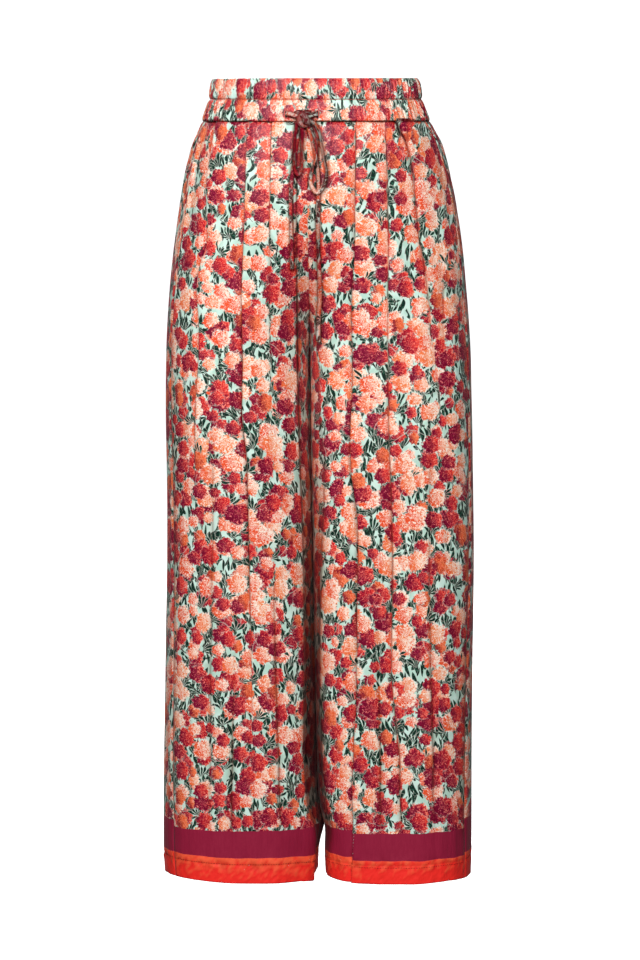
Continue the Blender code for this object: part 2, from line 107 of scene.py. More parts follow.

# Pleats and folds: places across and depths at some drops. The cloth steps up on the side that turn
# points to; edge is the width of that step, reach how far the trough and the ridge run out,
# hidden the width of cloth that is folded away at the deepest place, and shades the strength of the
# painted shade along the line.
pleatNames = ("side", "turn", "edge", "troughReach", "ridgeReach", "hidden", "drops", "places", "depths",
              "shades")
frontPleats = [dict(zip(pleatNames, row)) for row in (
    (1, 1, 0.0008, 0.011, 0.01, 0.017,
     (0.046, 0.061, 0.12, 0.191, 0.23, 0.34, 0.452, 0.48, 0.602, 0.703, 0.773, 0.846, 0.912),
     (0.043, 0.043, 0.0432, 0.0428, 0.041, 0.0406, 0.041, 0.0448, 0.0463, 0.045, 0.041, 0.0405, 0.0386),
     (0.0022, 0.003, 0.0052, 0.0064, 0.007, 0.008, 0.0086, 0.0082, 0.0076, 0.006, 0.0056, 0.005, 0.0036),
     (0.25, 0.35, 0.35, 0.35, 0.38, 0.55, 0.72, 0.72, 0.6, 0.42, 0.38, 0.42, 0.12)),
    (1, 1, 0.0011, 0.009, 0.012, 0.012,
     (0.046, 0.079, 0.16, 0.237, 0.342, 0.475, 0.569, 0.637, 0.7, 0.748, 0.83, 0.912),
     (0.0745, 0.0768, 0.0791, 0.0791, 0.0791, 0.0825, 0.0847, 0.0836, 0.0859, 0.0915, 0.0945, 0.096),
     (0.0014, 0.0024, 0.0032, 0.0034, 0.003, 0.0018, 0.0016, 0.0026, 0.0028, 0.0022, 0.0014, 0.001),
     (0.2, 0.3, 0.3, 0.25, 0.3, 0.4, 0.42, 0.32, 0.28, 0.36, 0.42, 0.08)),
    (1, 1, 0.0007, 0.008, 0.01, 0.014,
     (0.046, 0.05, 0.072, 0.139, 0.184, 0.198, 0.256, 0.291, 0.324, 0.38, 0.47),
     (0.088, 0.0892, 0.0994, 0.1107, 0.1152, 0.118, 0.1265, 0.1288, 0.133, 0.139, 0.145),
     (0.0034, 0.0042, 0.003, 0.0022, 0.0026, 0.0028, 0.0026, 0.0024, 0.002, 0.001, 0.0),
     (0.5, 0.55, 0.45, 0.4, 0.4, 0.4, 0.3, 0.25, 0.2, 0.1, 0.0)),
    (1, 1, 0.002, 0.007, 0.008, 0.0,
     (0.2, 0.235, 0.273, 0.32),
     (0.1405, 0.1412, 0.1412, 0.142),
     (0.0, 0.0014, 0.0014, 0.0),
     (0.0, 0.35, 0.35, 0.0)),
    (1, -1, 0.003, 0.012, 0.012, 0.0,
     (0.38, 0.48, 0.6, 0.76, 0.912),
     (0.126, 0.125, 0.126, 0.13, 0.132),
     (0.0, 0.0016, 0.0024, 0.0026, 0.0016),
     (0.0, 0.15, 0.25, 0.3, 0.05)),
    (-1, 1, 0.0009, 0.007, 0.01, 0.012,
     (0.046, 0.052, 0.079, 0.11, 0.16, 0.3, 0.45),
     (-0.0505, -0.0508, -0.052, -0.0525, -0.053, -0.0535, -0.051),
     (0.0026, 0.0032, 0.0024, 0.0014, 0.001, 0.0008, 0.0),
     (0.4, 0.5, 0.45, 0.3, 0.25, 0.2, 0.0)),
    (-1, 1, 0.0009, 0.01, 0.011, 0.016,
     (0.046, 0.07, 0.124, 0.175, 0.2135, 0.3, 0.385, 0.42, 0.459, 0.54, 0.62, 0.76, 0.912),
     (-0.0785, -0.079, -0.0791, -0.0808, -0.0825, -0.0827, -0.0822, -0.0785, -0.0779, -0.0765, -0.075,
      -0.073, -0.07),
     (0.0018, 0.0026, 0.0044, 0.0052, 0.0056, 0.0064, 0.0066, 0.0064, 0.0058, 0.004, 0.002, 0.001, 0.0007),
     (0.2, 0.3, 0.4, 0.38, 0.36, 0.5, 0.6, 0.6, 0.52, 0.5, 0.22, 0.1, 0.05)),
    (-1, 1, 0.0012, 0.009, 0.01, 0.012,
     (0.046, 0.068, 0.115, 0.19, 0.21, 0.282, 0.364, 0.47),
     (-0.115, -0.1175, -0.1243, -0.125, -0.1318, -0.1324, -0.1367, -0.139),
     (0.002, 0.0028, 0.0032, 0.0034, 0.0034, 0.003, 0.002, 0.0),
     (0.25, 0.32, 0.34, 0.36, 0.36, 0.3, 0.18, 0.0)),
    (-1, 1, 0.0028, 0.014, 0.013, 0.0,
     (0.33, 0.45, 0.6, 0.76, 0.912),
     (-0.119, -0.118, -0.12, -0.122, -0.124),
     (0.0, 0.0018, 0.0024, 0.0022, 0.0014),
     (0.0, 0.15, 0.22, 0.22, 0.05)),
    (-1, 1, 0.0024, 0.012, 0.012, 0.0,
     (0.56, 0.68, 0.76, 0.83, 0.912),
     (-0.09, -0.0945, -0.0965, -0.0975, -0.098),
     (0.0, 0.0018, 0.003, 0.003, 0.0014),
     (0.0, 0.15, 0.38, 0.38, 0.05)),
    (-1, -1, 0.0024, 0.01, 0.012, 0.0,
     (0.5, 0.62, 0.74, 0.83, 0.912),
     (-0.05, -0.049, -0.0455, -0.043, -0.042),
     (0.0, 0.002, 0.0028, 0.003, 0.0012),
     (0.0, 0.25, 0.35, 0.32, 0.05)),
    (1, -1, 0.0024, 0.01, 0.012, 0.0,
     (0.56, 0.66, 0.76, 0.83, 0.912),
     (0.0665, 0.0675, 0.07, 0.0705, 0.071),
     (0.0, 0.0018, 0.0026, 0.0026, 0.0012),
     (0.0, 0.15, 0.36, 0.34, 0.05)),
)]
backDrops = (0.048, 0.22, 0.52, 0.911)
backPleats = [dict(zip(pleatNames, row)) for row in (
    (-1, -1, 0.0016, 0.012, 0.012, 0.008, backDrops,
     (-0.098, -0.116, -0.123, -0.125),
     (0.0016, 0.0034, 0.0028, 0.0022)),
    (-1, -1, 0.001, 0.012, 0.012, 0.012, backDrops,
     (-0.06, -0.072, -0.08, -0.085),
     (0.0018, 0.0042, 0.004, 0.003)),
    (-1, 1, 0.002, 0.01, 0.012, 0.0, backDrops,
     (-0.034, -0.04, -0.046, -0.042),
     (0.0014, 0.0022, 0.0016, 0.0024)),
    (1, -1, 0.0018, 0.01, 0.012, 0.0, backDrops,
     (0.016, 0.028, 0.038, 0.042),
     (0.0014, 0.0022, 0.002, 0.0022)),
    (1, 1, 0.001, 0.012, 0.012, 0.012, backDrops,
     (0.048, 0.064, 0.076, 0.08),
     (0.0018, 0.0042, 0.0036, 0.0026)),
    (1, 1, 0.0016, 0.012, 0.012, 0.008, backDrops,
     (0.086, 0.108, 0.12, 0.124),
     (0.0016, 0.0032, 0.0026, 0.0022)),
)]


def curveThrough(knots, values, at):
    # smooth curve through a table's values
    knots, values, at = (np.asarray(item, float) for item in (knots, values, at))
    slopes = np.gradient(values, knots)
    cell = np.clip(np.searchsorted(knots, at) - 1, 0, len(knots) - 2)
    width = knots[cell + 1] - knots[cell]
    s = np.clip((at - knots[cell]) / width, 0.0, 1.0)
    return ((1 + 2 * s) * (1 - s) ** 2 * values[cell] + s * (1 - s) ** 2 * width * slopes[cell]
            + s * s * (3 - 2 * s) * values[cell + 1] + s * s * (s - 1) * width * slopes[cell + 1])


def outline(name, drop):
    return curveThrough(outlineRows[:, 0], outlineRows[:, outlineNames.index(name)], drop)


def ease(start, end, value):
    s = np.clip((value - start) / (end - start), 0.0, 1.0)
    return s * s * (3 - 2 * s)


def bell(offset):
    return np.exp(-offset * offset)


def unit(vectors):
    return vectors / np.maximum(np.linalg.norm(vectors, axis=-1, keepdims=True), 1e-12)


def lengthAlong(points):
    # distance run at each of a line's points
    return np.concatenate([[0], np.cumsum(np.linalg.norm(np.diff(points, axis=0), axis=1))])


def addUp(density):
    return np.concatenate([[0], np.cumsum((density[1:] + density[:-1]) / 2)])


def pointsAt(at, run, rows):
    return np.stack([np.interp(at, run, column) for column in rows.T], -1)


def smoothPointsAt(at, run, rows):
    return np.stack([curveThrough(run, column, at) for column in rows.T], -1)


def extended(values, before, after, axis):
    # a grid with its outermost values repeated
    width = [(0, 0)] * values.ndim
    width[axis] = (before, after)
    return np.pad(values, width, mode="edge")


def ringFaces(rings, around, start=0, closed=False):
    # quads between rings of points, each with the same number of them
    faces = []
    for i in range(rings if closed else rings - 1):
        low, high = start + i * around, start + (i + 1) % rings * around
        for k in range(around):
            after = (k + 1) % around
            faces.append((low + k, low + after, high + after, high + k))
    return faces


def rodFaces(rings, around, start=0):
    # the same with both ends closed
    last = start + (rings - 1) * around
    return ringFaces(rings, around, start) + [tuple(range(start + around - 1, start - 1, -1)),
                                              tuple(range(last, last + around))]


def declare(piece, node=None):
    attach(piece, "root")
    if node:
        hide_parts(node)


def clothNoise(across, down, acrossSize, downSize, seed):
    # smooth random heights between -1 and 1
    grid = np.random.default_rng(seed).uniform(-1, 1, (64, 64))
    a, d = across / acrossSize, down / downSize
    i, j = np.floor(a).astype(int), np.floor(d).astype(int)
    p, q = a - i, d - j
    p, q = p * p * (3 - 2 * p), q * q * (3 - 2 * q)
    upper = grid[i % 64, j % 64] * (1 - p) + grid[(i + 1) % 64, j % 64] * p
    lower = grid[i % 64, (j + 1) % 64] * (1 - p) + grid[(i + 1) % 64, (j + 1) % 64] * p
    return upper * (1 - q) + lower * q


def oval(angle, outerFullness, innerFullness):
    across, along = np.cos(angle), np.sin(angle)
    power = np.where(across > 0, outerFullness, innerFullness)
    radius = (np.abs(across) ** power + np.abs(along) ** power) ** (1 / power)
    return across / radius, along / radius


def seamAngle(inset, half, fullness):
    reach = np.clip((half - inset) / half, 0.05, 0.9999) ** fullness
    return np.arctan(((1 - reach) / reach) ** (1 / fullness))


def splitShare(across, drop):
    # 0 on the hips, 1 where the cloth has the shape of one leg
    wide = ease(form["splitFront"], form["splitEnd"], drop)
    reach = (drop - form["splitStart"]) / (form["crotch"] - form["splitStart"])
    centre = np.clip(reach, 0.0, 1.0) ** 1.6
    return wide + (centre - wide) * ease(0.70, 1.0, across)


def smoothPoint(side, face, across, drop):
    # point of the form before any fold; across runs from the side seam (0) to the centre (1)
    across, drop = np.broadcast_arrays(np.asarray(across, float), np.asarray(drop, float))
    edge = outline("left" if side < 0 else "right", drop)
    inset = outline("seamLeft" if side < 0 else "seamRight", drop)
    centre = outline("centre", drop)
    bodyHalf = np.abs(edge - centre)
    bodySeam = seamAngle(inset, bodyHalf, form["bodyFullness"])
    bodyX, bodyY = oval(bodySeam + across * (face * math.pi / 2 - bodySeam),
                        form["bodyFullness"], form["bodyFullness"])
    gap = outline("gap", drop) / 2
    legHalf = (bodyHalf - gap) / 2
    legSeam = seamAngle(inset, legHalf, form["legOuterFullness"])
    legX, legY = oval(legSeam + across * (face * math.pi - legSeam),
                      form["legOuterFullness"], form["legInnerFullness"])
    slant = side * form["innerSlant"] * legY * ease(0.2, -0.8, legX)
    legX = gap + legHalf * (1 + legX) - slant
    share = splitShare(across, drop)
    x = bodyX * bodyHalf + (legX - bodyX * bodyHalf) * share
    y = bodyY + (legY - bodyY) * share
    y = y * np.where(y > 0, outline("front", drop), outline("back", drop))
    return np.stack([centre + side * x, -y, top - drop], axis=-1)


def smoothNormal(side, face, across, drop):
    step = 2e-4
    along = (smoothPoint(side, face, np.clip(across + step, 0, 1), drop)
             - smoothPoint(side, face, np.clip(across - step, 0, 1), drop))
    down = (smoothPoint(side, face, across, np.minimum(drop + step, length))
            - smoothPoint(side, face, across, np.maximum(drop - step, 0)))
    return unit(np.cross(along, down) * side * face)


def pleatFields(side, face, x, drop):
    # how far the pleats lift the cloth, pull it sideways, how much of it they fold away, and the painted
    # shade along their lines
    lift, pull, hidden, closeness, shade = (np.zeros_like(x) for _ in range(5))
    for index, pleat in enumerate(frontPleats if face > 0 else backPleats):
        if pleat["side"] != side:
            continue
        line = curveThrough(pleat["drops"], pleat["places"], drop)
        line = line + 0.0005 * clothNoise(0 * drop, drop, 1.0, 0.035, 5)
        depth = np.maximum(curveThrough(pleat["drops"], pleat["depths"], drop), 0)
        depth = depth * (1 - 0.85 * ease(0.805, 0.862, drop) * (index > 0))
        offset = (x - line) * pleat["turn"]
        step = ease(-pleat["edge"], pleat["edge"], offset)
        trough = -np.exp(np.minimum(offset, 0) / pleat["troughReach"])
        ridge = 0.45 * bell((offset - 0.0045) / pleat["ridgeReach"])
        lift += depth * ((1 - step) * trough + step * ridge)
        sharp = ease(0.0020, 0.0008, pleat["edge"])
        pull -= pleat["turn"] * sharp * 0.40 * depth * step * bell(offset / 0.0045)
        hidden += pleat["hidden"] * depth / max(pleat["depths"]) * (step if pleat["turn"] > 0 else 1 - step)
        closeness += bell(offset / 0.006) * np.minimum(1, depth / 0.002)
        # painted shade in the trough beside each pleat's line, darkest on the line itself
        if "shades" in pleat:
            strength = np.clip(curveThrough(pleat["drops"], pleat["shades"], drop), 0, 1)
            start = pleat["drops"][0]
            strength = strength * ease(start - 0.02, start, drop) * ease(0.860, 0.835, drop)
            spread = np.where(offset < 0, np.exp(-(offset / (0.45 * pleat["troughReach"])) ** 2),
                             np.exp(-np.maximum(offset, 0) / max(pleat["edge"], 0.0009)))
            shade = shade + (1 - shade) * strength * spread
            shade = np.maximum(shade, np.minimum(1, 1.9 * strength) * bell((offset + 0.0003) / 0.0014))
    return lift, pull, hidden, closeness, shade


def grooveFields(x, across, drop):
    # how far the groove between the legs lies back, and the painted shade on its cloth
    low, high, depth, dark, line = (curveThrough(groove["drops"], groove[name], drop)
                                    for name in ("left", "right", "depths", "shades", "line"))
    front = 1 - ease(0.88, 0.99, across)
    back = np.maximum(depth, 0) * ease(low - 0.0012, low + 0.0012, x) * ease(high + 0.0014, high - 0.0014, x)
    soft = 0.0035 + 0.002 * ease(0.35, 0.55, drop)
    shade = dark * ease(low - soft, low + 0.0030, x) * ease(high + soft * 1.4, high - 0.0020, x)
    return back * front, np.maximum(shade, line * bell((x - low - 0.0004) / 0.0013))


def recessDepth(side, x, across, drop):
    edge = curveThrough(recess["drops"], recess["edges"][side], drop)
    inside = ease(-recess["width"] / 2, recess["width"] / 2, (edge - x) * side)
    depth = curveThrough(recess["drops"], recess["depths"], drop)
    return depth * inside * (1 - splitShare(across, drop)), bell((x - edge) / 0.005)


# Drawstring, a flat strip of the same cloth. A route's row is a place across, a drop, how far it
# lies in front of the cloth, and how far the strip is turned out of the front plane, in degrees.
drawstring = {
    "width": 0.0050,
    "thickness": 0.0012,
    "step": 0.0014,            # spacing of the strip's cross sections
    "knotStrip": 0.0076,       # width and thickness of the strip where it is wrapped round the knot
    "knotThickness": 0.0019,
    "edgeShade": 0.90,
    "reach": 0.006,            # the string rests on the cloth this far to each side of it
    "shadow": 0.62,            # painted shadow on the cloth behind it, and how far from its middle it starts
    "shadowStart": 0.0024,
    "shadowWide": 0.0018,
    "darkPieces": ("knot", "loop_left"),
    "knotPlace": (-0.0168, 0.0450),
    "knotSize": (0.0100, 0.0080, 0.0110),
    "knotOut": 0.0046,
    "knotGrid": (14, 24),
}
cordRoutes = {
    "lead_left": ((-0.0354, 0.0385, 0.0008, 10), (-0.0345, 0.0387, 0.0036, 10), (-0.0312, 0.0394, 0.0052, 0),
                  (-0.0264, 0.0408, 0.0056, -10), (-0.0225, 0.0422, 0.0058, -10)),
    "lead_right": ((-0.0008, 0.0390, 0.0008, -10), (-0.0016, 0.0392, 0.0036, -10),
                   (-0.0048, 0.0400, 0.0052, 0), (-0.0106, 0.0414, 0.0056, 10),
                   (-0.0150, 0.0426, 0.0058, 10)),
    "loop_left": ((-0.0232, 0.0500, 0.0070, 20), (-0.0250, 0.0600, 0.0066, 35), (-0.0262, 0.0750, 0.0064, 50),
                  (-0.0266, 0.0900, 0.0062, 55), (-0.0256, 0.1015, 0.0062, 35), (-0.0222, 0.1066, 0.0062, 0),
                  (-0.0188, 0.1015, 0.0064, -35), (-0.0180, 0.0900, 0.0066, -55),
                  (-0.0178, 0.0750, 0.0066, -50), (-0.0176, 0.0620, 0.0068, -30),
                  (-0.0178, 0.0510, 0.0070, -20)),
    "loop_right": ((-0.0122, 0.0490, 0.0060, -20), (-0.0062, 0.0580, 0.0056, -45),
                   (-0.0016, 0.0720, 0.0054, -65), (-0.0016, 0.0880, 0.0052, -65),
                   (-0.0072, 0.1040, 0.0052, -40), (-0.0082, 0.1150, 0.0052, -10),
                   (-0.0010, 0.1264, 0.0052, 10), (0.0070, 0.1180, 0.0052, 35), (0.0098, 0.1050, 0.0054, 60),
                   (0.0074, 0.0900, 0.0056, 65), (0.0040, 0.0740, 0.0060, 60), (0.0016, 0.0600, 0.0066, 50),
                   (-0.0042, 0.0490, 0.0072, 35), (-0.0110, 0.0455, 0.0078, 20)),
    "tail_left": ((-0.0206, 0.0500, 0.0036, 30), (-0.0225, 0.0640, 0.0030, 40), (-0.0250, 0.0850, 0.0028, 30),
                  (-0.0290, 0.1100, 0.0026, 10), (-0.0302, 0.1350, 0.0024, -20),
                  (-0.0296, 0.1600, 0.0024, -40), (-0.0292, 0.1850, 0.0022, -15),
                  (-0.0286, 0.2120, 0.0020, 10)),
    "tail_right": ((-0.0128, 0.0500, 0.0036, -30), (-0.0085, 0.0620, 0.0030, -40),
                   (-0.0040, 0.0800, 0.0028, -50), (0.0000, 0.1020, 0.0026, -40),
                   (0.0006, 0.1300, 0.0026, -15), (0.0000, 0.1550, 0.0026, 15),
                   (0.0004, 0.1850, 0.0026, 45), (0.0014, 0.2150, 0.0026, 30), (0.0020, 0.2480, 0.0024, 5),
                   (0.0006, 0.2720, 0.0024, -10), (0.0004, 0.2950, 0.0022, -10)),
}


def stringShade(x, drop):
    # painted shadow that the drawstring casts on the cloth behind it
    nearest = np.full(x.shape, 1.0)
    for rows in cordRoutes.values():
        rows = np.array(rows)
        run = lengthAlong(rows[:, :2])
        for lineX, lineDrop in smoothPointsAt(np.linspace(0, run[-1], 60), run, rows[:, :2]):
            nearest = np.minimum(nearest, np.hypot(x - lineX, drop - lineDrop))
    past = np.maximum(nearest - drawstring["shadowStart"], 0)
    return drawstring["shadow"] * bell(past / drawstring["shadowWide"])


# Soft creases, gathers and seams of the legs.
drape = {
    "longWave": 0.0011,        # long soft folds
    "shortWave": 0.00045,      # finer ones
    "frontGather": 0.00035,    # gathers below the waist seam, in the middle of the front
    "sideGather": 0.0012,      # at the front's two sides
    "backGather": 0.0017,      # and behind
    "wideGather": 0.0022,      # broad gathers behind
    "gatherPitch": 0.0066,
    "hemPucker": 0.00085,
    "hemWave": 0.0014,
    "hemStitch": 0.0215,       # height of the hem's stitching over its edge
    "hemStitchDip": 0.0006,
    "kneeCrease": 0.0007,
    "seamDip": 0.0011,
    "middleDip": {1: 0.20, -1: 1.0},          # share of it at the centre seam, in front and behind
    "waistDip": {1: 0.0018, -1: 0.0012},      # and how far the cloth pulls in below the waistband
    # painted shade along the seams and below the waistband
    "seamShade": 0.32,
    "waistShade": 0.85,
    "sideShade": {-1: 0.38, 1: 0.48},         # painted shade darkens the front towards its outer edges, between these drops
    "sideShadeDrops": {-1: (0.25, 0.42), 1: (0.50, 0.70)},   # between these drops
    "sideTuck": {-1: 0.0038, 1: 0.0024},
    "panelMiddle": 0.088,
    "legLean": 0.0048,
    "cornerPull": 0.0090,
    "printSlip": 0.0028,                      # step of the print across the right front's first pleat
    "seamAllowance": 0.0050,
    "thickness": 0.0004,
    "rows": 268,
    "columns": 122,
    "hemBurgundy": {1: 0.0612, -1: 0.0690},   # top edge of the hem's dark band, in front and behind
    "hemRed": 0.0295,
}
# The hem's turned-up inside: heights over the edge and how far in.
hemTurn = ((0.0, 0.0004), (0.0003, 0.0009), (0.0012, 0.0012), (0.004, 0.0013), (0.008, 0.0013),
           (0.013, 0.0013), (0.018, 0.0013), (0.0222, 0.0012))


def softFolds(side, face, x, across, drop, run):
    # run is the distance along the form from the middle of the panel
    seed = 11 + side + 3 * face
    below = drop - form["bandHeight"]
    settle = ease(0.0, 0.06, below)
    lift = settle * drape["longWave"] * clothNoise(run, drop, 0.024, 0.34, seed)
    lift += settle * drape["shortWave"] * clothNoise(run, drop, 0.009, 0.13, seed + 20)
    phase = run / drape["gatherPitch"] + 0.9 * clothNoise(run, drop, 0.017, 0.09, seed + 40)
    ripple = np.abs(np.cos(math.pi * phase)) - 0.6
    if face > 0:
        reach = np.maximum(ease(0.080, 0.092, x), ease(-0.104, -0.114, x))
        size = drape["frontGather"] + (drape["sideGather"] - drape["frontGather"]) * reach
        fade = 0.012 + 0.034 * reach
        wide = 0.0
    else:
        size, fade = drape["backGather"], 0.040
        widePhase = run / 0.0150 + 0.8 * clothNoise(run, drop, 0.03, 0.2, seed + 60)
        wide = drape["wideGather"] * np.cos(2 * math.pi * widePhase) * np.exp(-np.maximum(below, 0) / 0.085)
        wide = wide * ease(0.004, 0.03, below)
    uneven = 1 + 0.5 * clothNoise(run, 0 * drop, 0.012, 1.0, seed + 80)
    seamCalm = ease(0.0, 0.16, across)
    started = 0.25 + 0.75 * ease(0.0, 0.005, below)
    gathers = size * uneven * ripple * started * np.exp(-np.maximum(below, 0) / fade)
    lift += (gathers + wide) * (0.35 + 0.65 * seamCalm)
    tuck = drape["sideTuck"][side] * np.exp(-((drop - 0.115) / 0.085) ** 2)
    lift -= tuck * ease(0.34, 0.04, across)
    if side > 0 and face > 0:
        # a short slanting crease at the knee
        crease = (drop - 0.474 - 0.12 * (x - 0.067)) / 0.0030
        lift -= drape["kneeCrease"] * bell(crease) * ease(0.040, 0.050, x) * ease(0.100, 0.090, x)
    height = length - drop
    lift += drape["hemWave"] * clothNoise(run, drop, 0.040, 0.5, seed + 100) * ease(0.12, 0.0, height)
    pucker = clothNoise(run + 0.7 * height, height, 0.0046, 0.016, seed + 120)
    pucker = pucker + 0.7 * clothNoise(run - 1.1 * height, height, 0.0034, 0.009, seed + 140)
    near = bell((height - drape["hemStitch"]) / 0.0075) + 0.25 * ease(0.029, 0.0, height)
    lift += drape["hemPucker"] * pucker * near
    lift -= drape["hemStitchDip"] * bell((height - drape["hemStitch"]) / 0.0012)
    # painted shade in the hollows of the puckers and along the hem's stitching
    stitchShade = 0.30 * bell((height - drape["hemStitch"]) / 0.0009)
    return lift, np.clip(0.30 * np.clip(-pucker, 0, 1) * near + stitchShade, 0, 1)


def rowDrops():
    # rows closer together at the waist seam and the hem
    fine = np.linspace(form["bandHeight"], length, 4000)
    density = 1 + 2.2 * np.exp(-(fine - fine[0]) / 0.03) + 1.3 * ease(length - 0.045, length - 0.02, fine)
    run = addUp(density)
    return np.interp(np.linspace(0, run[-1], drape["rows"]), run, fine)


def panelShares(side, face, drops, count):
    # shares across, closer together beside the pleats
    fine = np.linspace(0, 1, 360)
    across, drop = np.meshgrid(fine, drops)
    point = smoothPoint(side, face, across, drop)
    x = point[..., 0]
    closeness = pleatFields(side, face, x, drop)[3]
    if face > 0:
        closeness = closeness + recessDepth(side, x, across, drop)[1]
        for name in ("left", "right"):
            closeness = closeness + bell((x - curveThrough(groove["drops"], groove[name], drop)) / 0.005)
    closeness = closeness * (0.15 + 0.85 * (point[..., 1] * face < 0))
    speed = np.gradient(point, axis=1)
    density = np.linalg.norm(speed, axis=-1) * (1 + 2.6 * np.minimum(closeness, 1.2)) + 1e-6
    run = np.concatenate([np.zeros((len(drops), 1)), np.cumsum((density[:, 1:] + density[:, :-1]) / 2, 1)], 1)
    # every row takes up its columns in step with its neighbours
    kernel = np.hanning(15)[1:-1]
    kernel = kernel / kernel.sum()
    padded = np.pad(run / run[:, -1:], ((6, 6), (0, 0)), mode="edge")
    run = np.stack([np.convolve(column, kernel, mode="valid") for column in padded.T], axis=1)
    even = np.linspace(0, 1, count)
    return np.stack([np.interp(even, row, fine) for row in run])


def edgeShades(side, face, x, drop, run, shade):
    # painted shade along the seams, at the front's outer edges and below the waistband
    below = drop - form["bandHeight"]
    seams = np.maximum(np.exp(-np.abs(run - run[:, :1]) / 0.0016),
                       drape["middleDip"][face] * np.exp(-np.abs(run - run[:, -1:]) / 0.0016))
    seams = drape["seamShade"] * seams * ease(0.0, 0.1, below) * ease(0.870, 0.840, drop)
    shade = np.maximum(shade, seams)
    if face > 0:
        outermost = np.abs(x - outline("left" if side < 0 else "right", drop))
        near = drape["sideShade"][side] * ease(0.019, 0.009, outermost)
        near = near * ease(*drape["sideShadeDrops"][side], drop) * ease(0.870, 0.850, drop)
        shade = shade + (1 - shade) * near
    return np.maximum(shade, drape["waistShade"] * np.exp(-below / 0.0012))


def printPlaces(side, face, x, drop, drops, run, hidden):
    # cloth taken up by gathers at the waist widens the print's coordinates there
    widest = np.abs(run[:, -1] - run[:, 0])
    full = widest[np.argmin(np.abs(drops - 0.2))]
    take = np.clip(full / widest, 1, 1.5) ** (0.8 if face < 0 else 0.25)
    take = 1 + (take - 1) * ease(0.2, 0.19, drops)
    v = drop.copy()
    if side > 0 and face > 0:
        line = np.interp(drop, frontPleats[0]["drops"], frontPleats[0]["places"])
        v = v - drape["printSlip"] * ease(0.30, 0.80, drop) * ease(-0.0008, 0.0008, x - line)
    return run * take[:, None] + hidden, v


def clothPanel(side, face):
    # middle surface of one leg panel, its print coordinates and painted shade, with seam allowances and hem
    drops = rowDrops()
    shares = panelShares(side, face, drops, drape["columns"])
    drop = np.repeat(drops[:, None], shares.shape[1], axis=1)
    base = smoothPoint(side, face, shares, drop)
    normal = smoothNormal(side, face, shares, drop)
    x = base[..., 0]
    run = np.concatenate([np.zeros((len(drops), 1)),
                          np.cumsum(np.linalg.norm(np.diff(base, axis=1), axis=-1), 1)], 1)
    middleX = side * drape["panelMiddle"]
    reference = np.array([np.interp(middleX * -side, row, rowRun)
                          for row, rowRun in zip(np.maximum.accumulate(x * -side, axis=1), run)])
    run = (run - reference[:, None]) * -side
    lift, pull, hidden, _, shade = pleatFields(side, face, x, drop)
    folds, puckerShade = softFolds(side, face, x, shares, drop, run)
    lift, shade = lift + folds, np.maximum(shade, puckerShade)
    calm = ease(0.0, 0.05, shares)
    centre = 1 - ease(0.90, 0.985, shares) * ease(0.0, 0.1, splitShare(shares, drop))
    lift, pull = lift * calm * centre, pull * calm * centre
    # both seams lie in a small groove, but not where the two fronts or backs part into legs
    parting = ease(0.0, 0.15, splitShare(shares, drop)) * ease(0.345, 0.325, drop)
    seamDip = drape["seamDip"] * (0.25 + 0.75 * ease(0.870, 0.840, drop))
    lift = lift - seamDip * np.exp(-np.abs(run - run[:, :1]) / 0.0013)
    middleDip = drape["middleDip"][face] * seamDip
    lift = lift - middleDip * np.exp(-np.abs(run - run[:, -1:]) / 0.0013) * (1 - parting)
    lift = lift - drape["waistDip"][face] * np.exp(-(drop - form["bandHeight"]) / 0.0018)
    tangent = unit(np.cross(normal, np.array([0.0, 0.0, 1.0])))
    tangent = tangent * np.sign(tangent[..., :1] + 1e-9)
    cloth = base + normal * lift[..., None] + tangent * pull[..., None]
    if face > 0:
        back, dark = grooveFields(x, shares, drop)
        cloth[..., 1] += recessDepth(side, x, shares, drop)[0] + back
        # painted shade deep in the groove, and painted shadow behind the drawstring
        shade = shade + (1 - shade) * dark * ease(0.2, 0.4, shares)
        shade = np.maximum(shade, stringShade(cloth[..., 0], drop))
    shade = edgeShades(side, face, x, drop, run, shade)
    # the legs lean a little to the right where they part above the hem
    nearMiddle = bell((x - outline("centre", drop)) / 0.022)
    cloth[..., 0] += drape["legLean"] * bell((drop - 0.855) / 0.022) * nearMiddle
    if side < 0 and face > 0:
        # a sharp fold turns the left leg's inner corner at the hem
        edge = outline("centre", drop) - outline("gap", drop) / 2 - 0.0098
        corner = bell((cloth[..., 0] - edge) / 0.013) * bell((cloth[..., 1] + 0.055) / 0.024)
        cloth[..., 0] += drape["cornerPull"] * corner * ease(0.820, 0.890, drop)
    # the hem's edge rises and falls a little towards its corners
    rise = np.interp(cloth[..., 0], hemRise["places"], hemRise["heights"])
    cloth[..., 2] += rise * ease(length - 0.075, length, drop) * ease(-0.004, -0.030, cloth[..., 1])

    u, v = printPlaces(side, face, x, drop, drops, run, hidden)
    grid = withHem(drops, cloth, normal, u, v, shade)
    cloth, u, v, shade = withAllowances(side, *grid)
    return cloth, np.stack([u, v], axis=-1), shade


def withHem(drops, cloth, normal, u, v, shade):
    # top edge tucked under the waistband, hem turned up inside
    count = cloth.shape[1]
    topRows = [cloth[0] + normal[0] * 0.0004 + [0, 0, 0.0034], cloth[0] + [0, 0, 0.0010]]
    hemRows, hemV = [], []
    for rise, inset in hemTurn:
        level = length - rise
        source = pointsAt(level, drops, cloth.reshape(len(drops), -1)).reshape(count, 3)
        hemRows.append(source - normal[-1] * inset)
        hemV.append(np.full(count, length + 0.0004 + rise))
    cloth = np.concatenate([topRows, cloth, hemRows])
    normal, u, shade = (extended(item, len(topRows), len(hemRows), 0) for item in (normal, u, shade))
    v = np.concatenate([v[:1] - 0.0030, v[:1] - 0.0010, v, hemV])
    return cloth, normal, u, v, shade


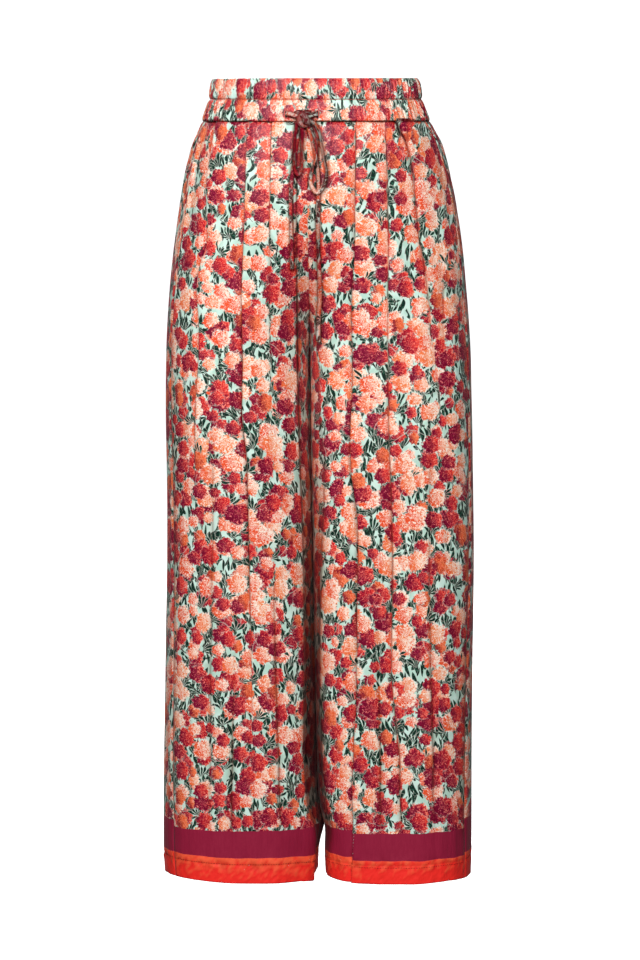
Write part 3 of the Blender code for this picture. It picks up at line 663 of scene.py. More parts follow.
def withAllowances(side, cloth, normal, u, v, shade):
    # seam allowances folded inwards along both edges
    depths = np.array([0.0005, 0.0016, drape["seamAllowance"]])
    columnsLeft = [cloth[:, 0] - normal[:, 0] * depth for depth in depths[::-1]]
    columnsRight = [cloth[:, -1] - normal[:, -1] * depth for depth in depths]
    cloth = np.concatenate([np.stack(columnsLeft, 1), cloth, np.stack(columnsRight, 1)], axis=1)
    u = np.concatenate([u[:, :1] + side * depths[::-1], u, u[:, -1:] - side * depths], axis=1)
    v, shade = (extended(item, len(depths), len(depths), 1) for item in (v, shade))
    return cloth, u, v, shade


def meshObject(name, points, faces, uv, materials, faceMaterials, shade=None):
    # the layer "print" places the print, "fold" carries the painted shade of folds, seams, stitching and the
    # drawstring's shadow
    mesh = bpy.data.meshes.new(name)
    mesh.from_pydata([tuple(point) for point in points], [], [tuple(face) for face in faces])
    corners = np.empty(len(mesh.loops), dtype=np.int64)
    mesh.loops.foreach_get("vertex_index", corners)
    shade = np.zeros(len(points)) if shade is None else shade
    for layerName, values in (("print", uv), ("fold", np.stack([shade, shade], 1))):
        mesh.uv_layers.new(name=layerName)
        places = np.asarray(values, dtype=np.float32)[corners]
        mesh.uv_layers[layerName].data.foreach_set("uv", places.ravel())
    for material in materials:
        mesh.materials.append(material)
    mesh.polygons.foreach_set("material_index", np.asarray(faceMaterials, dtype=np.int32))
    mesh.shade_smooth()
    mesh.update()
    item = bpy.data.objects.new(name, mesh)
    bpy.context.scene.collection.objects.link(item)
    return item


def clothShell(name, middle, uv, shade, thickness, orient, materials):
    # thin closed shell round a grid of points, its right side outwards
    rows, columns = middle.shape[:2]
    normal = unit(np.cross(np.gradient(middle, axis=1), np.gradient(middle, axis=0)) * orient)
    layers = [(middle + normal * amount / 2).reshape(-1, 3) for amount in (thickness, -thickness)]
    index = np.arange(rows * columns).reshape(rows, columns)
    quads = np.stack([index[:-1, :-1], index[:-1, 1:], index[1:, 1:], index[1:, :-1]], -1).reshape(-1, 4)
    ring = np.concatenate([index[0, :-1], index[:-1, -1], index[-1, :0:-1], index[:0:-1, 0]])
    following = np.roll(ring, -1)
    rim = np.stack([following, ring, ring + rows * columns, following + rows * columns], -1)
    if orient < 0:
        quads, rim = quads[:, ::-1], rim[:, ::-1]
    faces = np.concatenate([quads, quads[:, ::-1] + rows * columns, rim])
    which = [0] * len(quads) + [1] * len(quads) + [0] * len(rim)
    flat = uv.reshape(-1, 2)
    return meshObject(name, np.concatenate(layers), faces.tolist(), np.concatenate([flat, flat]),
                      materials, which, np.concatenate([shade.ravel(), shade.ravel()]))


class Sock:
    # one shader value; arithmetic on it adds Math nodes
    def __init__(self, maker, out):
        self.maker, self.out = maker, out

    def math(self, operation, *values, clamp=False):
        return self.maker.add("ShaderNodeMath", {"operation": operation, "use_clamp": clamp},
                              dict(enumerate(values)))

    def __add__(self, other):
        return self.math("ADD", self, other)

    def __sub__(self, other):
        return self.math("SUBTRACT", self, other)

    def __rsub__(self, other):
        return self.math("SUBTRACT", other, self)

    def __mul__(self, other):
        return self.math("MULTIPLY", self, other)

    def __truediv__(self, other):
        return self.math("DIVIDE", self, other)

    def __rtruediv__(self, other):
        return self.math("DIVIDE", other, self)

    def __pow__(self, other):
        return self.math("POWER", self, other)

    def __neg__(self):
        return self.math("MULTIPLY", self, -1.0)

    def __abs__(self):
        return self.math("ABSOLUTE", self)

    def __gt__(self, other):
        return self.math("GREATER_THAN", self, other)

    def __lt__(self, other):
        return self.math("LESS_THAN", self, other)

    __radd__, __rmul__ = __add__, __mul__

    def atMost(self, other):
        return self.math("MINIMUM", self, other)

    def sin(self):
        return self.math("SINE", self)

    def cos(self):
        return self.math("COSINE", self)

    def sqrt(self):
        return self.math("SQRT", self)

    def round(self):
        return self.math("ROUND", self)

    def rise(self, start, end):
        # 0 at start, 1 at end, in a straight line between
        return self.maker.add("ShaderNodeMapRange", {"clamp": True},
                              {0: self, 1: start, 2: end, 3: 0.0, 4: 1.0})

    def parts(self):
        node = self.maker.node("ShaderNodeSeparateXYZ", {}, {0: self})
        return [Sock(self.maker, out) for out in node.outputs]


class Shader:
    def __init__(self, name):
        self.material = bpy.data.materials.new(name)
        self.material.use_nodes = True
        self.tree = self.material.node_tree
        self.tree.nodes.clear()
        self.made = 0

    def node(self, kind, settings, values):
        node = self.tree.nodes.new(kind)
        for key, value in settings.items():
            setattr(node, key, value)
        for key, value in values.items():
            socket = node.inputs[key]
            if isinstance(value, Sock):
                self.tree.links.new(value.out, socket)
            elif isinstance(value, tuple) and len(value) == 3 and socket.type == "RGBA":
                socket.default_value = (*value, 1.0)
            else:
                socket.default_value = value
        self.made += 1
        return node

    def add(self, kind, settings, values, output=0):
        return Sock(self, self.node(kind, settings, values).outputs[output])

    def vector(self, operation, first, second):
        values = {0: first}
        values["Scale" if operation == "SCALE" else 1] = second
        return self.add("ShaderNodeVectorMath", {"operation": operation}, values)

    def place(self):
        # place on the print in millimetres
        return self.vector("SCALE", self.add("ShaderNodeUVMap", {"uv_map": "print"}, {}), 1000.0)

    def pair(self, x, y):
        return self.add("ShaderNodeCombineXYZ", {}, {0: x, 1: y})

    def mix(self, share, first, second):
        return self.add("ShaderNodeMix", {"data_type": "RGBA"}, {0: share, 6: first, 7: second}, 2)

    def noise(self, place, scale, detail=0.0, output=0):
        return self.add("ShaderNodeTexNoise", {"noise_dimensions": "2D"},
                        {"Vector": place, "Scale": scale, "Detail": detail}, output)

    def cells(self, place, size, shift, random):
        # offset from the nearest random spot in millimetres, and three chances
        wide, high = size
        spot = self.vector("DIVIDE", self.vector("ADD", place, (*shift, 0.0)), (wide, high, 1.0))
        node = self.node("ShaderNodeTexVoronoi", {"voronoi_dimensions": "2D"},
                         {"Vector": spot, "Scale": 1.0, "Randomness": random})
        middle = Sock(self, node.outputs["Position"])
        x, y, _ = self.vector("SUBTRACT", spot, middle).parts()
        return x * wide, y * high, Sock(self, node.outputs["Color"]).parts()

    def finish(self, values):
        shader = self.add("ShaderNodeBsdfPrincipled", {}, values)
        self.node("ShaderNodeOutputMaterial", {}, {0: shader})
        print("material", self.material.name, self.made, "nodes")
        return self.material


def colour(red, green, blue):
    # screen colour, 0 to 255, as Blender's linear values
    return tuple((c / 255 / 12.92) if c <= 10 else ((c / 255 + 0.055) / 1.055) ** 2.4
                 for c in (red, green, blue))


# The print's inks, the hem's painted highlight and the strings' darker colour, and the size of its motifs in
# millimetres.
printInks = {
    "ground": colour(208, 235, 224),
    "groundShade": colour(186, 220, 205),
    "rim": colour(240, 240, 226),
    "leaf": colour(14, 40, 32),
    "leafLight": colour(44, 90, 72),
    "burgundy": colour(114, 6, 42),
    "plum": colour(178, 30, 76),
    "crimson": colour(212, 24, 44),
    "poppy": colour(238, 80, 60),
    "orange": colour(236, 84, 46),
    "salmon": colour(243, 138, 84),
    "blush": colour(255, 232, 216),
    "dot": colour(250, 150, 132),
    "stringBurgundyAndShade": colour(116, 0, 26),
    "hemBurgundy": colour(145, 26, 57),
    "hemBurgundyLight": colour(150, 30, 60),
    "hemRed": colour(250, 46, 38),
    "hemPaintedHighlight": colour(255, 96, 62),
    "wrongSide": colour(240, 226, 222),
}
printSizes = {
    "headCells": ((28.0, (3.0, 11.0)), (26.0, (107.0, 61.0)), (30.0, (41.0, 203.0))),
    "headSmall": 6.2,
    "headLarge": 12.8,
    "softHeads": 0.41,         # share of heads in the soft colours
    "ruffle": 2.4,
    "bend": 2.6,
    "tufts": ((25.0, (13.0, 133.0), 19.0, 1.80, 0.42, 0.9), (35.0, (203.0, 31.0), 16.0, 1.70, 0.44, 2.4)),
    "bladeCell": (7.6, 18.5),
    "bladeWide": 2.00,
    "bladeLong": 8.5,
    "leafPitch": 6.0,          # spacing and size of the leaves along a stem
    "leafAside": 2.5,
    "leafWide": 1.9,
    "leafLong": 3.4,
}


def flowerHeads(m, place, size, shift):
    x, y, (chanceSize, chanceTurn, chanceKind) = m.cells(place, (size, size), shift, 0.92)
    x = x * (0.74 + 0.44 * chanceTurn)
    distance = (x * x + y * y).sqrt()
    angle = x.math("ARCTAN2", y, x)
    low, high = printSizes["headSmall"], printSizes["headLarge"]
    radius = low + (high - low) * chanceSize
    petals = m.noise(m.pair(angle * 5.6 + chanceTurn * 60.0, distance * 0.50), 1.0, 1.0)
    strokes = petals - 0.5
    patch = m.noise(place, 0.16) - 0.5
    edge = radius * (0.95 + 0.45 * strokes + 0.07 * (angle * 5.0 + chanceTurn * 40.0).sin())
    inside = edge - distance
    mask = inside.rise(-0.15, 0.25)
    lean = (x * 0.9 - y * 0.3) / radius + patch * 0.9
    tone = (lean + strokes * 2.0 + (chanceTurn - 0.5)).rise(-0.45, 0.70)
    warm = chanceTurn > 0.82
    red = m.mix(tone, printInks["burgundy"], m.mix(warm, printInks["crimson"], printInks["orange"]))
    light = m.mix(tone, printInks["plum"], m.mix(warm, printInks["poppy"], printInks["salmon"]))
    red = m.mix((strokes + lean * 0.09).rise(0.02, 0.07), red, light)
    red = m.mix((strokes + lean * 0.06).rise(0.13, 0.18) * 0.75, red, printInks["dot"])
    soft = chanceKind / printSizes["softHeads"] - lean * 0.50 + strokes * 1.4
    soft = m.mix(soft.rise(-0.05, 0.70), printInks["salmon"], printInks["orange"])
    soft = m.mix((strokes + lean * 0.150).rise(0.020, 0.060), soft, printInks["blush"])
    # a head's pale rim is uneven, and missing on part of it
    rim = (inside + 0.8).rise(-0.20, 0.25) * (0.28 + 0.90 * patch)
    return rim, mask, m.mix(chanceKind > printSizes["softHeads"], soft, red)


def leafTufts(m, place, size, shift, reach, width, spread, turn):
    # fans of narrow blades that grow from one point
    x, y, (chanceReach, chanceTurn, chanceBend) = m.cells(place, (size, size), shift, 0.8)
    y = y - reach * 0.50
    distance = (x * x + y * y).sqrt()
    angle = x.math("ARCTAN2", x, -y) + (chanceTurn - 0.5) * turn + distance * (chanceBend - 0.5) * 0.05
    blade = (angle / spread).round()
    aside = abs(angle / spread - blade) * spread * distance
    long = reach * (0.78 + 0.22 * (blade * 2.3 + chanceReach * 9.0).cos())
    along = (distance / long).atMost(1.0)
    shape = ((along * math.pi).sin() ** 0.7 * width).atMost(distance * spread * 0.38)
    return (shape - aside) * (abs(blade) < 2.5) - 3.0 * (abs(blade) > 2.5)


def leafBlades(m, place, clumps, slant, shift):
    # single narrow blades, all slanting about the same way
    across, down, _ = place.parts()
    sine, cosine = math.sin(slant), math.cos(slant)
    turned = m.pair(across * cosine + down * sine, down * cosine - across * sine)
    x, y, (chanceBend, chanceThere, chanceLong) = m.cells(turned, printSizes["bladeCell"], shift, 0.9)
    half = printSizes["bladeLong"] * (0.70 + 0.45 * chanceLong)
    along = y / half
    aside = abs(x + along * along * (chanceBend - 0.5) * 3.0 + y * (chanceBend - 0.5) * 0.30)
    shape = (1.0 - along * along) * printSizes["bladeWide"] * (0.75 + 0.5 * chanceLong)
    return shape - aside - 3.0 * (chanceThere + clumps < 0.12)


def sprigs(m, place, size, shift):
    # slanting stems with small oval leaves in turn on either side
    x, y, (chanceTurn, chanceBend, _) = m.cells(place, (size, size), shift, 0.9)
    turn = (chanceTurn - 0.5) * 2.4
    sine, cosine = turn.sin(), turn.cos()
    along, aside = x * sine - y * cosine, x * cosine + y * sine
    aside = aside + along * along * (chanceBend - 0.5) * 0.035
    count = (along / printSizes["leafPitch"]).round()
    near = along - count * printSizes["leafPitch"]
    hand = (count * math.pi).cos() * printSizes["leafAside"]
    leafAcross = (aside - hand) / printSizes["leafWide"]
    leafAlong = (near - abs(hand) * 0.25) / printSizes["leafLong"]
    leaf = 1.0 - (leafAcross * leafAcross + leafAlong * leafAlong)
    stem = 0.55 - abs(aside)
    return leaf.math("MAXIMUM", leaf, stem).atMost(size * 0.40 - abs(along))


def warped(m, place, scale, detail, amount):
    drift = m.vector("SUBTRACT", m.noise(place, scale, detail, 1), (0.5, 0.5, 0.5))
    return m.vector("ADD", place, m.vector("SCALE", drift, amount * 2.0))


def printLeaf(m, cloth, shape, rimShare, green):
    # a green motif with a pale rim
    cloth = m.mix((shape + 0.60).rise(0.0, 0.5) * rimShare, cloth, printInks["rim"])
    return m.mix(shape.rise(-0.10, 0.20), cloth, green)


def floralPrint(m, place):
    ruffled = warped(m, place, 0.42, 1.0, printSizes["ruffle"])
    bent = warped(m, place, 0.075, 0.0, printSizes["bend"])
    shade = m.noise(place, 0.07)
    ground = m.mix(shade.rise(0.40, 0.60), printInks["ground"], printInks["groundShade"])
    green = m.mix(m.noise(place, 0.45).rise(0.57, 0.70), printInks["leaf"], printInks["leafLight"])
    clumps = m.noise(place, 0.055) - 0.5
    first, second = printSizes["tufts"]
    cloth = ground
    for shape in (leafBlades(m, bent, clumps, 0.28, (3.0, 7.0)), leafTufts(m, bent, *first),
                  leafBlades(m, bent, clumps, -0.20, (51.0, 23.0)), sprigs(m, bent, 30.0, (17.0, 59.0))):
        cloth = printLeaf(m, cloth, shape, 0.32, green)
    for index, (size, shift) in enumerate(printSizes["headCells"]):
        rim, mask, ink = flowerHeads(m, ruffled, size, shift)
        cloth = m.mix(rim, cloth, printInks["rim"])
        cloth = m.mix(mask, cloth, ink)
        if index == 0:
            cloth = printLeaf(m, cloth, leafTufts(m, bent, *second), 0.45, green)
    return cloth


# The satin's finish; thread pitches in millimetres, heights in metres; the fold colours darken folds as
# painted shade.
satin = {
    "roughness": 0.36,
    "sheen": 0.03,
    "sheenRoughness": 0.35,
    "specular": 0.18,
    "wrongSidePale": 0.45,
    "paintedShadeHalf": (0.64, 0.47, 0.42),
    "paintedShadeFull": (0.11, 0.03, 0.04),
    "warpPitch": 0.42,
    "weftPitch": 0.36,
    "weaveHeight": 0.000006,
    "crumpleHeight": 0.0011,
    "fineHeight": 0.00022,
    "hemHeight": 0.0009,
}


def printedSatin(name, hemTop=None, wrongSide=False, deeper=0.0):
    m = Shader(name)
    place = m.place()
    across, down, _ = place.parts()
    cloth = floralPrint(m, place)
    roughness = satin["roughness"] + 0.08 * (m.noise(place, 0.05, 2.0) - 0.5)
    if hemTop is not None:
        waver = (m.noise(m.pair(across, 0.0), 0.05) - 0.5) * 1.6
        height = (length * 1000.0 - down) + waver
        band = (hemTop * 1000.0 - height).rise(-0.2, 0.2)
        red = (drape["hemRed"] * 1000.0 - height).rise(-0.2, 0.2)
        streak = m.noise(m.pair(across * 0.9, down * 0.12), 0.5, 2.0)
        wrinkle = m.noise(m.pair(across * 0.130 + down * 0.090, down * 0.075 - across * 0.045), 1.0, 1.0)
        cloth = m.mix(band, cloth, m.mix(streak.rise(0.3, 0.7), printInks["hemBurgundy"],
                                         printInks["hemBurgundyLight"]))
        # painted highlight: the red band turns orange along its wrinkles, more so higher up, and less away
        # from the left front
        warm = (wrinkle * 1.5 - 0.25 + (height - 17.0) * 0.035 - (across > 600.0) * 0.30).rise(0.20, 0.95)
        cloth = m.mix(red, cloth, m.mix(warm, printInks["hemRed"], printInks["hemPaintedHighlight"]))
        roughness = roughness + band * 0.10 + red * 0.06
    # darker towards burgundy: partly the print's burgundy, partly painted shade
    if deeper:
        cloth = m.mix(deeper, cloth, printInks["stringBurgundyAndShade"])
    # painted shade from the mesh's fold layer darkens the cloth, to the half colour and then to the full one
    shade = m.add("ShaderNodeUVMap", {"uv_map": "fold"}, {}).parts()[0]
    dark = m.mix(shade.rise(0.0, 0.5), (1.0, 1.0, 1.0), satin["paintedShadeHalf"])
    cloth = m.vector("MULTIPLY", cloth, m.mix(shade.rise(0.5, 1.0), dark, satin["paintedShadeFull"]))
    if wrongSide:
        cloth = m.mix(satin["wrongSidePale"], cloth, printInks["wrongSide"])
        roughness = roughness + 0.15
    warpThreads = (across * (2 * math.pi / satin["warpPitch"])).sin()
    weftThreads = (down * (2 * math.pi / satin["weftPitch"])).sin()
    weave = warpThreads * 0.5 + weftThreads * 0.35
    crumple = m.noise(m.pair(across * 0.10, down * 0.018), 1.0, 3.0)
    fine = m.noise(m.pair(across * 0.50, down * 0.20), 1.0, 2.0)
    height = weave * satin["weaveHeight"] + crumple * satin["crumpleHeight"] + fine * satin["fineHeight"]
    if hemTop is not None:
        height = height + red * wrinkle * satin["hemHeight"]
    bump = m.add("ShaderNodeBump", {}, {"Strength": 1.0, "Distance": 1.0, "Height": height})
    return m.finish({"Base Color": cloth, "Roughness": roughness, "Normal": bump,
                     "Specular IOR Level": satin["specular"] * (1 - 0.6 * deeper),
                     "Sheen Weight": satin["sheen"], "Sheen Roughness": satin["sheenRoughness"]})


def threadMaterial(name, base, light):
    m = Shader(name)
    across, down, _ = m.place().parts()
    twist = (across * 4.0 + down * 6.0).sin()
    ink = m.mix(twist.rise(-1.0, 1.0), base, light)
    bump = m.add("ShaderNodeBump", {}, {"Strength": 0.6, "Distance": 0.0001, "Height": twist})
    return m.finish({"Base Color": ink, "Roughness": 0.60 + twist * 0.05, "Normal": bump,
                     "Specular IOR Level": 0.15})


# The right and the wrong side of each kind of piece.
satins = {}
for name, hemTop in (("front", drape["hemBurgundy"][1]), ("back", drape["hemBurgundy"][-1]), ("band", None)):
    satins[name] = [printedSatin("satin_" + name, hemTop),
                    printedSatin("satin_" + name + "_inside", hemTop, True)]
# the strings darken towards burgundy, the knot and the left loop more: partly the print's burgundy, partly
# painted shade
stringSatin = printedSatin("satin_string", None, False, 0.42)
knotSatin = printedSatin("satin_knot", None, False, 0.78)
thread = threadMaterial("thread_rose", colour(196, 70, 70), colour(232, 128, 112))
threadRed = threadMaterial("thread_red", colour(126, 8, 14), colour(176, 26, 26))
print("materials made")

# Print offsets of the panels, so that no two seams match.
printShift = {("front", -1): 0.137, ("front", 1): 0.631, ("back", -1): 1.171, ("back", 1): 1.693}
panels = {}
grids = {}
for face, faceName in ((1, "front"), (-1, "back")):
    for side, sideName in ((-1, "left"), (1, "right")):
        middle, uv, shade = clothPanel(side, face)
        uv = uv + np.array([printShift[(faceName, side)], 0.0])
        name = "cloth_" + faceName + "_" + sideName
        piece = clothShell(name, middle, uv, shade, drape["thickness"], side * face, satins[faceName])
        declare(piece, faceName + "_" + sideName)
        panels[faceName + "_" + sideName] = piece
        grids[(side, face)] = middle
print("leg panels made")

# Waistband: cloth folded over two rows of elastic. A row is a drop and how far it stands out.
band = {
    "outside": ((0.0474, -0.0016), (0.0479, -0.0008), (0.0478, 0.0001), (0.0468, 0.0008), (0.0450, 0.0012),
                (0.0415, 0.0014), (0.0365, 0.0015), (0.0310, 0.0014), (0.0270, 0.0010), (0.0248, 0.0005),
                (0.0235, -0.0006), (0.0222, 0.0006), (0.0200, 0.0013), (0.0165, 0.0018), (0.0110, 0.0018),
                (0.0060, 0.0014), (0.0028, 0.0008), (0.0008, 0.0000)),
    "inside": ((0.0000, -0.0008), (0.0010, -0.0016), (0.0040, -0.0020), (0.0120, -0.0022), (0.0200, -0.0020),
               (0.0235, -0.0016), (0.0270, -0.0020), (0.0360, -0.0022), (0.0440, -0.0020), (0.0474, -0.0018)),
    "pitch": 0.0048,           # spacing of the gathers
    "flatGather": 0.00040,     # their height in the middle of the front
    "fullGather": 0.0017,      # and at the sides and back
    "flatReach": (-0.100, 0.070),
    "thickness": 0.0004,
    "sideTuck": 0.0022,
    "columns": 430,
    "rows": {"outside": 60, "inside": 24},
    "stitchPitch": 0.0046,     # spacing of the dark pricks along the stitching
    "stitchShade": (0.35, 0.55),   # painted shade between the pricks, and what each adds
    "seamShade": (0.62, 0.30),     # the same along the waist seam
    "endDip": 0.0010,
    "slump": 0.0006,           # unevenness of the lower edge
    "printWiden": {1: 1.42, -1: 1.60},   # the gathers take up this much cloth, in front and behind
    "printPlace": {1: (2.3, 0.4), -1: (2.9, 0.4)},
}


def sectionRows(rows, count):
    rows = np.array(rows)
    run = lengthAlong(rows)
    # closer together at the stitching and at both ends
    fine = np.linspace(0, run[-1], 800)
    level = np.interp(fine, run, rows[:, 0])
    density = 1 + 3.0 * bell((level - form["bandStitch"]) / 0.002) + 2.0 * bell(fine / 0.004)
    density = density + 2.0 * bell((fine - run[-1]) / 0.004)
    share = addUp(density)
    at = np.interp(np.linspace(0, share[-1], count), share, fine)
    return smoothPointsAt(at, run, rows), at


def bandRow(face, count):
    # places evenly spaced along half of the waist
    shares = np.linspace(0, 1, 300)
    left = smoothPoint(-1, face, shares, form["bandStitch"])
    right = smoothPoint(1, face, shares[::-1], form["bandStitch"])
    run = lengthAlong(np.concatenate([left, right]))
    at = np.linspace(0.0001, run[-1] - 0.0001, count)
    middle = (run[299] + run[300]) / 2
    leftAcross = np.interp(at, run[:300], shares)
    rightAcross = np.interp(at, run[300:], shares[::-1])
    return at, np.where(at < middle, -1, 1), np.where(at < middle, leftAcross, rightAcross)


def waistbandHalf(face):
    at, sides, across = bandRow(face, band["columns"])
    (outside, outRun), (inside, inRun) = (sectionRows(band[name], band["rows"][name])
                                          for name in ("outside", "inside"))
    rows = np.concatenate([outside, inside])
    v = np.concatenate([outRun, outRun[-1] + 0.0008 + inRun])
    drop = np.repeat(np.clip(rows[:, :1], 0, None), len(at), 1)
    out = np.repeat(rows[:, 1:], len(at), 1)
    acrossGrid = np.repeat(across[None], len(rows), 0)
    atGrid = np.repeat(at[None], len(rows), 0)
    base, normal = np.empty(drop.shape + (3,)), np.empty(drop.shape + (3,))
    for side in (-1, 1):
        chosen = sides == side
        base[:, chosen] = smoothPoint(side, face, acrossGrid[:, chosen], drop[:, chosen])
        normal[:, chosen] = smoothNormal(side, face, acrossGrid[:, chosen], drop[:, chosen])
    x = base[..., 0]
    low, high = band["flatReach"]
    gathered = 1.0 if face < 0 else np.maximum(ease(high, high + 0.014, x), ease(low, low - 0.010, x))
    size = band["flatGather"] + (band["fullGather"] - band["flatGather"]) * gathered
    channel = np.where(drop < form["bandStitch"], 0.0, 1.0)
    seed = 7 + face
    phase = atGrid / band["pitch"]
    phase = phase + 0.8 * clothNoise(atGrid, 0.010 * channel + 0.4 * drop, 0.009, 0.012, seed)
    ripple = np.abs(np.cos(math.pi * phase)) - 0.62
    uneven = 1 + 0.55 * clothNoise(atGrid, channel, 0.008, 1.0, seed + 9)
    pinch = 0.35 + 0.65 * ease(0.0002, 0.0045, np.abs(drop - form["bandStitch"]))
    pinch = pinch * (0.30 + 0.70 * ease(0.0, 0.006, drop)) * (0.45 + 0.55 * ease(0.048, 0.043, drop))
    outer = np.arange(len(rows)) < len(outside)
    pinch = pinch * np.where(outer, 1.0, 0.6)[:, None]
    slow = 0.00035 * clothNoise(atGrid, drop, 0.022, 0.05, seed + 30)
    height = out + size * uneven * ripple * pinch + slow
    height = height - band["sideTuck"] * np.maximum(ease(high, high + 0.03, x), ease(low, low - 0.016, x))
    ends = np.minimum(atGrid - at[0], at[-1] - atGrid)
    height = height - band["endDip"] * np.exp(-ends / 0.0012)
    middle = base + normal * height[..., None]
    slump = band["slump"] * clothNoise(atGrid, 0 * drop, 0.016, 1.0, seed + 50) * ease(0.030, 0.048, drop)
    middle[..., 2] = top - rows[:, :1] + np.where(outer[:, None], slump, 0.0)
    valley = np.clip(-ripple - 0.05, 0, 1) * gathered * pinch
    shade = bandShade(atGrid, drop, outer, valley)
    # painted shadow of the drawstring on the band
    if face > 0:
        shade = np.maximum(shade, stringShade(middle[..., 0], drop) * outer[:, None])
    u = atGrid * band["printWiden"][face]
    return middle, np.stack([u, np.repeat(v[:, None], len(at), 1)], axis=-1), shade


def bandShade(atGrid, drop, outer, valley):
    # painted shade: dark pricks along both rows of stitches, and in the valleys between the gathers
    pricks = 0.5 + 0.5 * np.cos(atGrid * (2 * math.pi / band["stitchPitch"]))
    (stitchBase, stitchPrick), (seamBase, seamPrick) = band["stitchShade"], band["seamShade"]
    shade = (stitchBase + stitchPrick * pricks) * bell((drop - form["bandStitch"]) / 0.0007) * outer[:, None]
    shade = np.clip(np.maximum(shade, 1.1 * valley), 0, 1)
    return np.maximum(shade, (seamBase + seamPrick * pricks) * ease(0.0462, 0.0474, drop))


for face, faceName in ((1, "front"), (-1, "back")):
    middle, uv, shade = waistbandHalf(face)
    uv = uv + np.array(band["printPlace"][face])
    piece = clothShell("cloth_band_" + faceName, middle, uv, shade, band["thickness"], face, satins["band"])
    declare(piece, "waistband_" + faceName)
    grids[("band", face)] = middle
print("waistband made")

# Stitches: small slanted threads along a line of points.
stitching = {
    "pitch": 0.0030,
    "long": 0.0021,
    "wide": 0.00052,
    "rise": 0.00024,           # how far a stitch bulges out in its middle
    "lift": 0.0003,            # and how far its line lies in front of the cloth
    "sides": 6,
    "rings": ((-0.5, 0.35), (-0.25, 0.95), (0.25, 0.95), (0.5, 0.35)),   # place along it, share of width
}


def stitchRun(line, outwards):
    # thread bars along a line, as vertices, faces and print coordinates
    run = lengthAlong(line)
    count, sides = int(run[-1] / stitching["pitch"]), stitching["sides"]
    points, faces, uv = [], [], []
    for index in range(count):
        middleAt = (index + 0.5) * stitching["pitch"]
        if middleAt + stitching["long"] > run[-1]:
            break
        centre = pointsAt(middleAt, run, line)
        outward = unit(pointsAt(middleAt, run, outwards))
        along = unit(pointsAt(middleAt + 0.0005, run, line) - centre)
        aside = unit(np.cross(along, outward))
        start = len(points)
        for position, share in stitching["rings"]:
            for corner in range(sides):
                angle = 2 * math.pi * corner / sides
                offset = (along * position * stitching["long"]
                          + aside * math.cos(angle) * share * stitching["wide"] / 2
                          + outward * (math.sin(angle) * share * stitching["wide"] / 2
                                       + stitching["rise"] * (share - 0.35)))
                points.append(centre + offset)
                uv.append((position * 0.002, corner * 0.0003))
        faces += rodFaces(len(stitching["rings"]), sides, start)
    return points, faces, uv


def stitchPiece(name, runs, material):
    points, faces, uv = [], [], []
    for line, outwards in runs:
        morePoints, moreFaces, moreUv = stitchRun(line, outwards)
        faces += [tuple(corner + len(points) for corner in face) for face in moreFaces]
        points += morePoints
        uv += moreUv
    declare(meshObject(name, points, faces, uv, [material], [0] * len(faces)))


def stitchLine(grid, rows, column, height, orient):
    # the row of a cloth grid that lies at a height, just in front of the cloth, and its outward directions
    normal = unit(np.cross(np.gradient(grid, axis=1), np.gradient(grid, axis=0)) * orient)
    row = int(np.argmin(np.abs(grid[:rows, column, 2] - height)))
    return grid[row] + normal[row] * stitching["lift"], normal[row]


bandRuns = [stitchLine(grids[("band", face)], band["rows"]["outside"], 200, top - form["bandStitch"], face)
            for face in (1, -1)]
stitchPiece("stitching_band", bandRuns, thread)
hemRuns = []
for side, face in ((-1, 1), (1, 1), (-1, -1), (1, -1)):
    line, outwards = stitchLine(grids[(side, face)], drape["rows"] + 2, 60, top - length + drape["hemStitch"],
                                side * face)
    hemRuns.append((line[4:-4], outwards[4:-4]))
stitchPiece("stitching_hem", hemRuns, threadRed)
print("stitching made")

frontCloth = np.concatenate([grids[(-1, 1)].reshape(-1, 3), grids[(1, 1)].reshape(-1, 3),
                             grids[("band", 1)].reshape(-1, 3)])


def frontPlace(x, drop, out):
    # point in front of the foremost cloth near a place across and a drop
    near = np.abs(frontCloth[:, 0] - x) < drawstring["reach"]
    near &= np.abs(frontCloth[:, 2] - (top - drop)) < 0.004
    return np.array([x, frontCloth[near, 1].min() - out, top - drop])


def smoothRoute(rows, step):
    knots = np.array([frontPlace(*row[:3]) for row in rows])
    run = lengthAlong(knots)
    fine = np.linspace(0, run[-1], 500)
    curve = smoothPointsAt(fine, run, knots)
    turns = curveThrough(run, [row[3] for row in rows], fine)
    kernel = np.hanning(41)
    curve[:, 1] = np.convolve(np.pad(curve[:, 1], 20, mode="edge"), kernel / kernel.sum(), mode="valid")
    distance = lengthAlong(curve)
    even = np.linspace(0, distance[-1], max(12, round(distance[-1] / step)))
    return pointsAt(even, distance, curve), np.radians(np.interp(even, distance, turns)), even


stripSection = ((-0.50, 0.00), (-0.47, 0.36), (-0.36, 0.50), (-0.12, 0.40), (0.10, 0.46), (0.36, 0.50),
                (0.47, 0.36), (0.50, 0.00), (0.47, -0.36), (0.36, -0.50), (0.0, -0.44), (-0.36, -0.50),
                (-0.47, -0.36))


